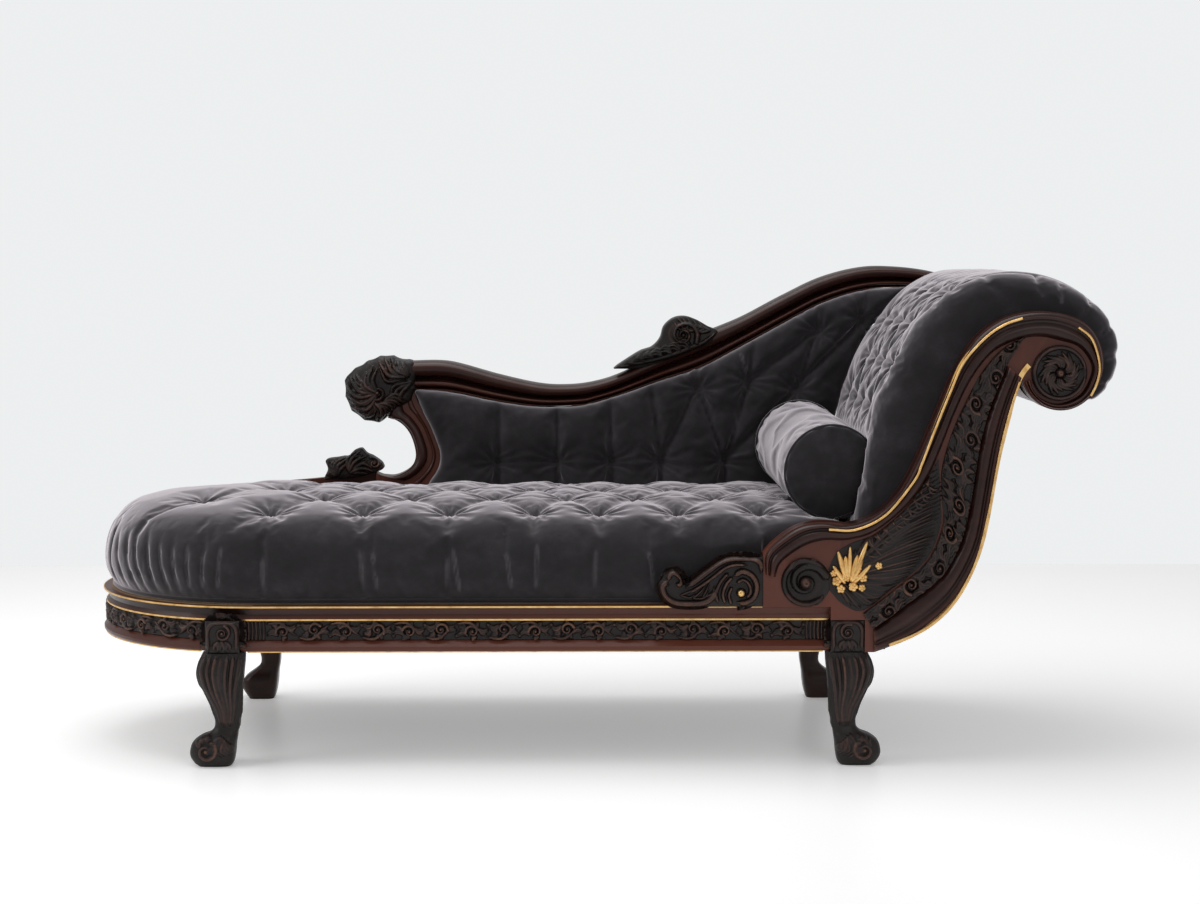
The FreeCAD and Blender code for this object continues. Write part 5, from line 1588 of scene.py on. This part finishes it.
def makeSides():
    face = -sideShape["face"]
    made = []
    inner = moulded("innerRib", fromHead(sideShape["innerEdge"]), fromHead(sideShape["innerStop"]),
                    sideShape["ribProfile"], 150, face - sideShape["ribProud"], face + 0.002)
    outer = moulded("outerRib", fromHead(sideShape["outerEdge"]), fromHead(sideShape["outerStop"]),
                    sideShape["ribProfile"], 110, face - sideShape["ribProud"], face + 0.002)
    made.append((joined("frontRibs", [inner, outer]), "rearRibs", "polished", None, None, 50))
    beads = []
    for run, shift in (("innerBead", -0.0095), ("outerBead", -0.0095), ("rollBead", -0.0085)):
        line = smoothRun(fromHead(sideShape[run]), 120)
        beads.append(corded(run, [(x, face + shift, z) for x, z in line], sideShape["beadRadius"]))
    made.append((joined("frontGiltLines", beads), "rearGiltLines", "gilt", "front_scroll_gilding",
                 "rear_scroll_gilding", None))
    left, right = fromHead(sideShape["bandLeft"]), fromHead(sideShape["bandRight"])
    length = lengthOf((smoothRun(left, 60) + smoothRun(right, 60)) / 2)
    band = relief("frontBand", left, right, bandCarving(length), face - sideShape["ground"], thick=0.003,
                  local=True)
    made.append((outward(band, merged=False), "rearBand", "carved", "front_scroll_carving",
                 "rear_scroll_carving", None))
    x, z = (value * mm for value in sideShape["eyeAt"])
    eye = discRelief("frontEye", x, z, sideShape["eyeRadius"] * mm, eyeCarving(x, z), face - 0.004, 0.004)
    made.append((eye, "rearEye", "carved", "front_scroll_eye", "rear_scroll_eye", None))
    for piece, twinName, finish, frontNode, rearNode, sharp in made:
        twin = mirroredTwin(piece, twinName)
        dressed(piece, finish, frontNode, sharpAt=sharp)
        dressed(twin, finish, rearNode, sharpAt=sharp)
    x, z = atHead(*sideShape["voluteAt"])
    volute = discRelief("baseVolute", x, z, 0.045, voluteCarving(x, z), face, 0.001)
    dressed(volute, "carved", "front_base_volute")
    feather = relief("leafFan", fromHead(sideShape["leafUpper"]), fromHead(sideShape["leafLower"]),
                     leafCarving(), face - sideShape["ground"], thick=0.003, turned=True)
    dressed(outward(feather, merged=False), "carved", "front_leaf_carving")


makeSides()
print("sides made")


# Arm scroll that curls forward along the seat rail
armShape = {
    "x": 0.302,
    "upper": ((-178, 60), (-163, 70), (-150, 56), (-143, 42), (-132, 46), (-100, 70), (-64, 91), (-22, 90),
              (0, 92)),
    "lower": ((-184, 50), (-190, 40), (-184, 22), (-168, 7), (-150, 1), (-120, 0), (-80, 0), (-40, 0),
              (0, 0)),
    "face": 0.339,
    "dome": 0.004,
    "eye": (-40, 26),
    "dotRadius": 0.0066,
    "dotProud": 0.0065,        # how far its middle stands before the face
    # run, half width and height of each carved line
    "lines": ((((-171, 51), (-182, 37), (-175, 18), (-157, 8), (-130, 6), (-108, 8), (-92, 18), (-85, 34)),
               0.0068, 0.0120),
              (((-172, 50), (-168, 60), (-160, 62), (-148, 52), (-150, 42), (-157, 42)), 0.0050, 0.0120),
              (((-139, 36), (-119, 50), (-98, 66), (-79, 80), (-62, 87), (-38, 89), (-17, 87), (-5, 79),
                (-4, 62)),
               0.0058, 0.0115),
              (((-134, 26), (-110, 41), (-88, 57), (-70, 71), (-53, 77), (-30, 77)), 0.0036, 0.0090),
              (((-82, 8), (-85, 26), (-77, 46), (-64, 62)), 0.0036, 0.0085),
              (((-69, 7), (-73, 24), (-67, 42), (-56, 55)), 0.0036, 0.0095),
              (((-58, 6), (-62, 22), (-57, 36)), 0.0034, 0.0090),
              (((-53, 57), (-38, 65), (-21, 58), (-12, 40), (-16, 19), (-32, 8), (-46, 9)), 0.0058, 0.0120),
              (((-48, 45), (-36, 50), (-26, 42), (-23, 28), (-30, 17)), 0.0036, 0.0090)),
    # start, end and bend of each leaf
    "leaves": (((-150, 22), (-120, 30), -0.10), ((-128, 16), (-98, 37), -0.12),
               ((-110, 17), (-90, 46), -0.10)),
}


def armPoints(points):
    return [(armShape["x"] + x * mm, couch["railTop"] + z * mm) for x, z in points]


def makeArmScroll():
    carving = Carving(41)
    for run, width, height in armShape["lines"]:
        carving.ridge(armPoints(run), width, height, "even")
    for start, end, bend in armShape["leaves"]:
        carving.leaf(armPoints([start])[0], armPoints([end])[0], bend, 0.0026, 0.0085, 2)
    eye = armPoints([armShape["eye"]])[0]
    carving.boss(eye, 0.009, 0.008)
    piece = relief("armScroll", armPoints(armShape["upper"]), armPoints(armShape["lower"]), carving,
                   -armShape["face"] + 0.004, thick=0.018, dome=armShape["dome"], step=0.0011, turned=True)
    dressed(outward(piece, merged=False), "carved", "front_arm_scroll")
    bpy.ops.mesh.primitive_uv_sphere_add(segments=20, ring_count=12, radius=armShape["dotRadius"])
    dot = bpy.context.object
    dot.name = "armDot"
    dot.data.transform(Matrix.Translation((eye[0], -armShape["face"] - armShape["dotProud"], eye[1])))
    dressed(dot, "gilt")


makeArmScroll()
print("arm scroll made")


# Carved friezes round the seat, between the rail gilding and the lower moulding
friezeShape = {
    "bottom": 0.2295,
    "top": 0.2655,
    "reach": 0.0042,           # ground of the carving beyond the rail face
    "pitch": 0.058,
    "fluteGap": 0.0068,
    "flutes": 6,
    "legsX": (-0.676, 0.456),
    "blockHalf": 0.031,
    "step": 0.0013,
    "tallest": 0.0100,         # carving as high as this counts as fully raised
    "thick": 0.003,
}


def friezeCarving(seed, start, end, flutedAt):   # scrolling leaves along u, with upright flutes at each block
    carving = Carving(seed)
    draw = carving.draw
    half = (friezeShape["top"] - friezeShape["bottom"]) / 2
    for place, way in flutedAt:
        for k in range(friezeShape["flutes"]):
            u = place + way * (0.006 + friezeShape["fluteGap"] * k)
            carving.ridge(((u, -half), (u + way * 0.001, 0.0), (u, half)), 0.0032, 0.0075 - 0.0005 * k,
                          "even")
    clear = friezeShape["fluteGap"] * friezeShape["flutes"] + 0.006
    start += clear * any(way > 0 and place <= start + 0.001 for place, way in flutedAt)
    end -= clear * any(way < 0 and place >= end - 0.001 for place, way in flutedAt)
    count = max(1, round((end - start) / friezeShape["pitch"]))
    pitch = (end - start) / count
    for k in range(count):
        side = 1 if k % 2 else -1
        u = start + (k + 0.5) * pitch
        centre = (u, side * 0.002)
        turn = draw.uniform(-0.6, 0.6) + (0 if side > 0 else 3.1)
        carving.curl(centre, 0.0130, turn, side * 1.35, 0.0042, 0.0100)
        for j in range(5):
            angle = side * (1.2 + 1.05 * j) + draw.uniform(-0.25, 0.25)
            begin = onOval(centre, angle, 0.0125, 0.011)
            tip = onOval(centre, angle + 0.6 * side, 0.030, 0.019)
            carving.leaf(begin, tip, 0.26 * side, 0.0036, draw.uniform(0.0066, 0.0092), 3)
        carving.ridge(((u - pitch * 0.5, -side * 0.012), (u - pitch * 0.22, -side * 0.015),
                       (u, side * -0.012),
                       (u + pitch * 0.3, side * 0.004), (u + pitch * 0.5, side * 0.012)), 0.0040, 0.0086)
        carving.boss((u + pitch * 0.5, -side * 0.010), 0.0042, 0.0060)
    return carving


def frieze(name, node, seed, u, place, flutedAt, turned=False):   # place: point and outward way at u
    columns = int((u[-1] - u[0]) / friezeShape["step"])
    rows = int((friezeShape["top"] - friezeShape["bottom"]) / friezeShape["step"])
    middle = (friezeShape["top"] + friezeShape["bottom"]) / 2
    along = np.tile(np.linspace(u[0], u[-1], columns), rows)
    height = np.repeat(np.linspace(friezeShape["bottom"], friezeShape["top"], rows), columns)
    carving = friezeCarving(seed, u[0], u[-1], flutedAt)
    tall = carving.heights(np.column_stack([along, height - middle]))
    base, out = place(along)
    lift = friezeShape["reach"] + tall
    points = np.column_stack([base[:, 0] + out[:, 0] * lift, base[:, 1] + out[:, 1] * lift, height])
    raised = tall / friezeShape["tallest"]
    piece = gridPiece(name, columns, rows, points, raised, friezeShape["thick"], turned)
    dressed(outward(piece, merged=False), "carved", node)


def makeFriezes():
    half = couch["railFaceY"]
    legX, headX = friezeShape["legsX"]
    block = friezeShape["blockHalf"]
    start, end = legX + block + 0.0005, headX - block - 0.0005

    def front(u):
        return np.column_stack([u, np.full(len(u), -half)]), np.tile((0.0, -1.0), (len(u), 1))

    def rear(u):
        return np.column_stack([-u, np.full(len(u), half)]), np.tile((0.0, 1.0), (len(u), 1))

    def around(u):             # u runs along the front from the block, round the foot end and back
        turn = math.pi * half
        angle = np.clip(u / half, 0.0, math.pi) - math.pi / 2
        x = couch["roundX"] - half * np.cos(angle) + np.where(u < 0, -u, 0) + np.where(u > turn, u - turn, 0)
        return np.column_stack([x, half * np.sin(angle)]), np.column_stack([-np.cos(angle), np.sin(angle)])

    frieze("frontFrieze", "front_frieze", 51, (start, end), front, ((start, 1), (end, -1)))
    gap = np.arccos(np.clip((couch["roundX"] - (legX - block - 0.0005)) / half, -1, 1))
    first = (math.pi / 2 - gap) * half
    last = math.pi * half - first
    frieze("footFrieze", "foot_frieze", 52, (first, last), around, (), turned=True)
    frieze("rearFrieze", "rear_frieze", 53, (-end, -start), rear, ((-end, 1), (-start, -1)))


makeFriezes()
print("friezes made")


# Gilt spray of petals and small blossoms over the base of the leaf fan
sprayShape = {
    "root": (-44, 34),
    # tip, half width, of each upright petal
    "petals": (((-62, 96), 5.0), ((-50, 88), 5.5), ((-42, 104), 4.0), ((-30, 90), 5.0), ((-14, 112), 4.5),
               ((-22, 82), 5.0), ((-70, 72), 4.5), ((-8, 74), 4.5)),
    "blossoms": ((-66, 48, 9), (-50, 56, 8), (-34, 58, 9), (-18, 54, 8), (-58, 34, 8), (-36, 38, 9),
                 (-20, 36, 7), (10, 76, 7), (-72, 62, 6), (-28, 70, 7)),
    "front": 0.3445,
}


def makeSpray():
    made = []
    pattern = makeButtonPattern()
    upright = Matrix.Rotation(math.radians(90), 4, "X")
    root = np.array(atHead(*sprayShape["root"]))
    for tip, width in sprayShape["petals"]:
        tip = np.array(atHead(*tip))
        along = tip - root
        length = np.linalg.norm(along)
        turn = Matrix.Rotation(-math.atan2(along[1], along[0]), 4, "Y")
        lift = Matrix.Translation(((root[0] + tip[0] * 2) / 3, -sprayShape["front"],
                                   (root[1] + tip[1] * 2) / 3))
        size = Matrix.Diagonal((length * 0.42 / 0.0105, width * mm / 0.0105, 0.9, 1.0))
        made.append(copied(pattern, lift @ turn @ upright @ size))
    for number, (x, z, radius) in enumerate(sprayShape["blossoms"]):
        x, z = atHead(x, z)
        for k in range(5):
            angle = 2 * math.pi * k / 5 + number
            place = (x + 0.55 * radius * mm * math.cos(angle), -sprayShape["front"] - 0.001,
                     z + 0.55 * radius * mm * math.sin(angle))
            size = Matrix.Diagonal((radius * 0.48 / 10.5, radius * 0.48 / 10.5, 0.7, 1.0))
            made.append(copied(pattern, Matrix.Translation(place) @ upright @ size))
        middle = Matrix.Translation((x, -sprayShape["front"] - 0.0035, z))
        made.append(copied(pattern, middle @ upright @ Matrix.Diagonal((0.25, 0.25, 0.5, 1.0))))
    bpy.data.objects.remove(pattern)
    dressed(joined("giltSpray", made), "gilt", "gilt_flower_spray")


makeSpray()
print("spray made")


# Cabriole legs: fluted knees, scrolled feet and a carved block above
legShape = {
    # height, shift outward, width along X, depth across, shift of the front outward, all in mm
    "sections": ((210.0, 0.0, 72.0, 62.0, 0.0), (190.0, 5.0, 80.0, 66.0, 3.0), (170.0, 8.0, 82.0, 66.0, 4.0),
                 (150.0, 6.5, 76.0, 62.0, 3.0), (135.0, 3.0, 66.0, 56.0, 2.0),
                 (108.0, -2.0, 54.0, 47.0, -2.0), (76.0, -4.0, 46.0, 42.0, -4.0),
                 (62.0, 2.0, 50.0, 47.0, -1.0), (54.0, 12.0, 68.0, 56.0, 2.5), (42.0, 20.0, 80.0, 64.0, 4.0),
                 (22.0, 23.0, 82.0, 65.0, 4.5), (7.0, 21.0, 72.0, 58.0, 3.5), (0.0, 19.0, 58.0, 50.0, 3.0)),
    "middleY": 0.311,
    "squareness": 3.2,
    "fluteDepth": 0.0042,
    "flutes": 9,
    "blockHalf": 0.031,
    "blockFront": 0.3415,
    "blockRear": 0.318,
    "blockBottom": 0.210,
    "blockTop": 0.269,
    "tallest": 0.0065,
    "blockTallest": 0.0068,
}


def legCarving(x, way):
    carving = Carving(61 if way < 0 else 62)
    for k in range(7):         # long feathered ridges that sweep from the knee down to the ankle
        share = k / 6 - 0.5
        carving.ridge(((x + 0.062 * share, 0.206), (x + way * 0.006 + 0.066 * share, 0.176),
                       (x + way * 0.004 + 0.050 * share, 0.140), (x - way * 0.003 + 0.030 * share, 0.105),
                       (x - way * 0.004 + 0.018 * share, 0.074)), 0.0042, 0.0058 - 0.0022 * abs(share),
                       "even")
    foot = (x + way * 0.032, 0.030)
    carving.curl(foot, 0.020, 0.6 if way < 0 else 2.5, way * 1.3, 0.0058, 0.0072)
    for k in range(5):
        start = (x + way * (0.006 - 0.004 * k), 0.060 - 0.004 * k)
        tip = (x + way * (-0.004 - 0.004 * k), 0.012 + 0.004 * k)
        carving.leaf(start, tip, 0.2 * way, 0.0040, 0.0058, 2)
    for k in range(5):
        angle = 0.4 + 0.6 * k
        begin, tip = onOval(foot, angle, way * 0.012, 0.018), onOval(foot, angle + 0.6, way * 0.016, 0.032)
        carving.leaf(begin, tip, 0.2, 0.0038, 0.0056, 2)
    return carving


def blockCarving(x, way):
    carving = Carving(63)
    arch = ((-0.025, 0.214), (-0.026, 0.250), (-0.016, 0.2645), (0.0, 0.2665), (0.016, 0.2645),
            (0.026, 0.250), (0.025, 0.214))
    carving.ridge([(x + side, z) for side, z in arch], 0.0045, 0.0055, "even")
    carving.curl((x, 0.2465), 0.0155, 1.2, way * 1.6, 0.0040, 0.0068)
    for k in (-1, 0, 1):
        carving.leaf((x + 0.006 * k, 0.232), (x + 0.011 * k, 0.212), 0.12 * k, 0.0042, 0.0060, 2)
    return carving


def makeLeg(name, node, x, way):         # way: -1 turns the foot to the foot end, 1 to the head end
    shape = legShape
    knots = np.array(shape["sections"]) * mm
    heights = np.linspace(0.0, shape["blockBottom"], 150)
    order = np.argsort(knots[:, 0])
    fine = smoothRun(knots[order], 300)
    shift, width, depth, front = (np.interp(heights, fine[:, 0], fine[:, k]) for k in (1, 2, 3, 4))
    around = 180
    angles = np.linspace(0.0, 2 * math.pi, around, endpoint=False)
    power = 2.0 / shape["squareness"]
    across = np.sign(np.cos(angles)) * np.abs(np.cos(angles)) ** power
    deep = np.sign(np.sin(angles)) * np.abs(np.sin(angles)) ** power
    rings = []
    for k, z in enumerate(heights):
        rings.append([(x + way * shift[k] + width[k] / 2 * a,
                       -shape["middleY"] - front[k] / 2 + depth[k] / 2 * d, z) for a, d in zip(across, deep)])
    leg = lofted(name, rings)
    points, normals = getPoints(leg), getNormals(leg)
    tall = legCarving(x, way).heights(points[:, (0, 2)])
    facing = np.clip(-normals[:, 1] * 1.6 - 0.25, 0.0, 1.0)
    overFoot = np.clip((points[:, 2] - 0.075) / 0.02, 0, 1)
    sides = np.clip(np.abs(normals[:, 0]) * 1.6 - 0.5, 0.0, 1.0) * overFoot
    flute = shape["fluteDepth"] * 0.5 * (1 + np.cos(points[:, 1] * 2 * math.pi / 0.0115)) * sides
    points += normals * (tall * facing - 0.0022 * facing + (flute - 0.002) * sides * (1 - facing))[:, None]
    points[:, 2] = np.clip(points[:, 2], 0.0, shape["blockBottom"])
    setPoints(leg, points)
    markRaised(leg, np.clip(tall / shape["tallest"] * facing + 0.30 * (1 - facing), 0.0, 1.0))
    half = shape["blockHalf"]
    carving = blockCarving(x, way)
    columns, rows = 56, 54
    across = np.tile(np.linspace(x - half, x + half, columns), rows)
    high = np.repeat(np.linspace(shape["blockBottom"], shape["blockTop"], rows), columns)
    tall = carving.heights(np.column_stack([across, high]))
    toLevel = np.minimum(high - shape["blockBottom"], shape["blockTop"] - high)
    rim = np.clip(np.minimum(half - np.abs(across - x), toLevel) / 0.004, 0.0, 1.0)
    points = np.column_stack([across, -shape["blockFront"] + 0.004 - tall * rim - 0.003 * np.sqrt(rim), high])
    block = gridPiece(name + "Block", columns, rows, points, tall / shape["blockTallest"],
                      shape["blockFront"] - shape["blockRear"])
    dressed(joined(name, [leg, outward(block, merged=False)]), "carved", node)


makeLeg("frontFootLeg", "front_foot_leg", -0.676, -1)
makeLeg("frontHeadLeg", "front_head_leg", 0.456, 1)
print("legs made")


# Coil springs under the seat, narrow at the waist
springShape = {
    "turns": 6,
    "waist": 0.72,             # radius at the middle as a share of the ends
    "radius": 0.034,
    "wire": 0.0016,
    "steps": 17,               # points in a turn
}


def makeSprings():
    levels = np.array(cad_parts["seat_springs"].bound_box)[:, 2]
    low, high = levels.min(), levels.max()
    count = springShape["turns"] * springShape["steps"] + 1
    turn = np.linspace(0.0, 2 * math.pi * springShape["turns"], count)
    share = np.linspace(0.0, 1.0, count)
    reach = springShape["radius"] * (1 - (1 - springShape["waist"]) * np.sin(math.pi * share))
    wire = springShape["wire"]
    height = low + wire + (high - low - 2 * wire) * np.clip(share * 1.2 - 0.1, 0.0, 1.0)
    pattern = corded("coil", np.column_stack([reach * np.cos(turn), reach * np.sin(turn), height]), wire,
                     sides=4)
    made = [copied(pattern, Matrix.Translation((middle[0], middle[1], 0.0)))
            for middle, axis in islands("seat_springs")]
    bpy.data.objects.remove(pattern)
    dressed(joined("seatSprings", made), "steel", "seat_springs")


makeSprings()
print("springs made")


# Outside covers, hessian, straps and dust cover: cloth tacked round its edges, with a little fullness between
sheetShape = {
    # node: own name, finish, size it was cut to, its cut area, what it is fixed to, fullness and its way
    "back_outside_cover": ("backOutsideCloth", "velvet", (0.520, 0.990), 0.2966,
                           ("crest_rail", "back_bottom_rail"), 0.0022, (0.0, 1.0, 0.0)),
    "head_outside_cover": ("headOutsideCloth", "velvet", (0.596, 0.709), 0.4221,
                           ("head_roll", "head_lower_rail"), -0.0016, None),
    "seat_hessian": ("seatHessianCloth", "jute", (0.600, 1.454), 0.7955,
                     ("front_seat_rail", "rear_seat_rail"), 0.0003, (0.0, 0.0, 1.0)),
    "seat_webbing": ("seatStraps", "jute", (0.598, 1.406), 0.3971, ("front_seat_rail", "rear_seat_rail"),
                     0.0003, (0.0, 0.0, 1.0)),
    "dust_cover": ("dustCloth", "lining", (0.528, 1.387), 0.7048, ("front_seat_rail", "rear_seat_rail"),
                   0.0035, (0.0, 0.0, -1.0)),
}
sheetMesh = {
    "step": 0.022,
    "edgeReach": 0.060,        # from the tacked edge to the full fullness
    "tackPitch": 0.038,
    "pucker": 0.0005,
}


def gridded(piece, step):      # flat faces joined, then cut along an even grid
    mesh = bmesh.new()
    mesh.from_mesh(piece.data)
    bmesh.ops.remove_doubles(mesh, verts=mesh.verts, dist=1e-5)
    bmesh.ops.dissolve_limit(mesh, angle_limit=math.radians(0.5), verts=mesh.verts, edges=mesh.edges)
    for axis in range(3):
        places = [v.co[axis] for v in mesh.verts]
        way = Vector([float(axis == k) for k in range(3)])
        for place in np.arange(min(places) + step, max(places), step):
            parts = mesh.verts[:] + mesh.edges[:] + mesh.faces[:]
            bmesh.ops.bisect_plane(mesh, geom=parts, plane_co=way * place, plane_no=way)
    bmesh.ops.triangulate(mesh, faces=[face for face in mesh.faces if len(face.verts) > 4])
    mesh.to_mesh(piece.data)
    mesh.free()


def makeSheet(node, name, finish, flat, area, fixedTo, fullness, way):
    piece = copied(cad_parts[node], Matrix())
    piece.name = name
    gridded(piece, sheetMesh["step"])
    points, normals = getPoints(piece), getNormals(piece)
    if way is None:                      # a curved cover is full outwards from the middle of the roll's turn
        middle = np.array((couch["headX"], 0.0, couch["rollZ"]))
        out = points - middle
        out[:, 1] = 0.0
        out = out / np.linalg.norm(out, axis=1)[:, None]
        inside = couch["sideInnerY"] - np.abs(points[:, 1])
    else:
        out = np.broadcast_to(np.array(way), points.shape)
        rim = points[np.abs(normals @ np.array(way)) < 0.8]
        inside = np.array([np.linalg.norm(rim - point, axis=1).min() for point in points])
    share = np.clip(inside / sheetMesh["edgeReach"], 0.0, 1.0)
    full = share * share * (3 - 2 * share)
    along = points @ np.array((1.0, 0.6, 1.0))
    slack = 0.75 + 0.25 * np.sin(along * 17.0) * np.cos(points[:, 0] * 11.0)
    puckers = np.cos(2 * math.pi * along / sheetMesh["tackPitch"]) * full * (1 - full) * 4
    grown = fullness * full * slack + sheetMesh["pucker"] * puckers * np.sign(fullness)
    setPoints(piece, points + out * grown[:, None])
    dressed(piece, finish, node, sharpAt=50)


for node, values in sheetShape.items():
    makeSheet(node, *values)
print("cloth covers made")


# Finishes of the CAD nodes that stay as they are
nodeFinishes = {
    "polished": ("front_lower_moulding", "rear_lower_moulding", "foot_lower_moulding", "upper_moulding",
                 "front_seat_rail", "front_scroll_side", "rear_scroll_side", "back_end_scroll", "rear_wing",
                 "rear_foot_leg", "rear_head_leg", "back_bottom_rail", "rear_seat_rail"),
    "gilt": ("rail_gilding", "front_scroll_beads", "rear_scroll_beads"),
    "beech": ("back_uprights", "corner_blocks", "cross_bearers", "foot_end_rail", "head_lower_rail",
              "head_middle_rail", "head_seat_rail", "rail_dowels"),
    "velvet": ("seat_welt", "head_roll"),
    "steel": ("leg_bolts",),
}
for finishName, nodes in nodeFinishes.items():
    for node in nodes:
        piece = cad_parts[node]
        if not piece.hide_render:
            piece.data.materials.clear()
            piece.data.materials.append(finishes[finishName])
print("CAD nodes dressed")
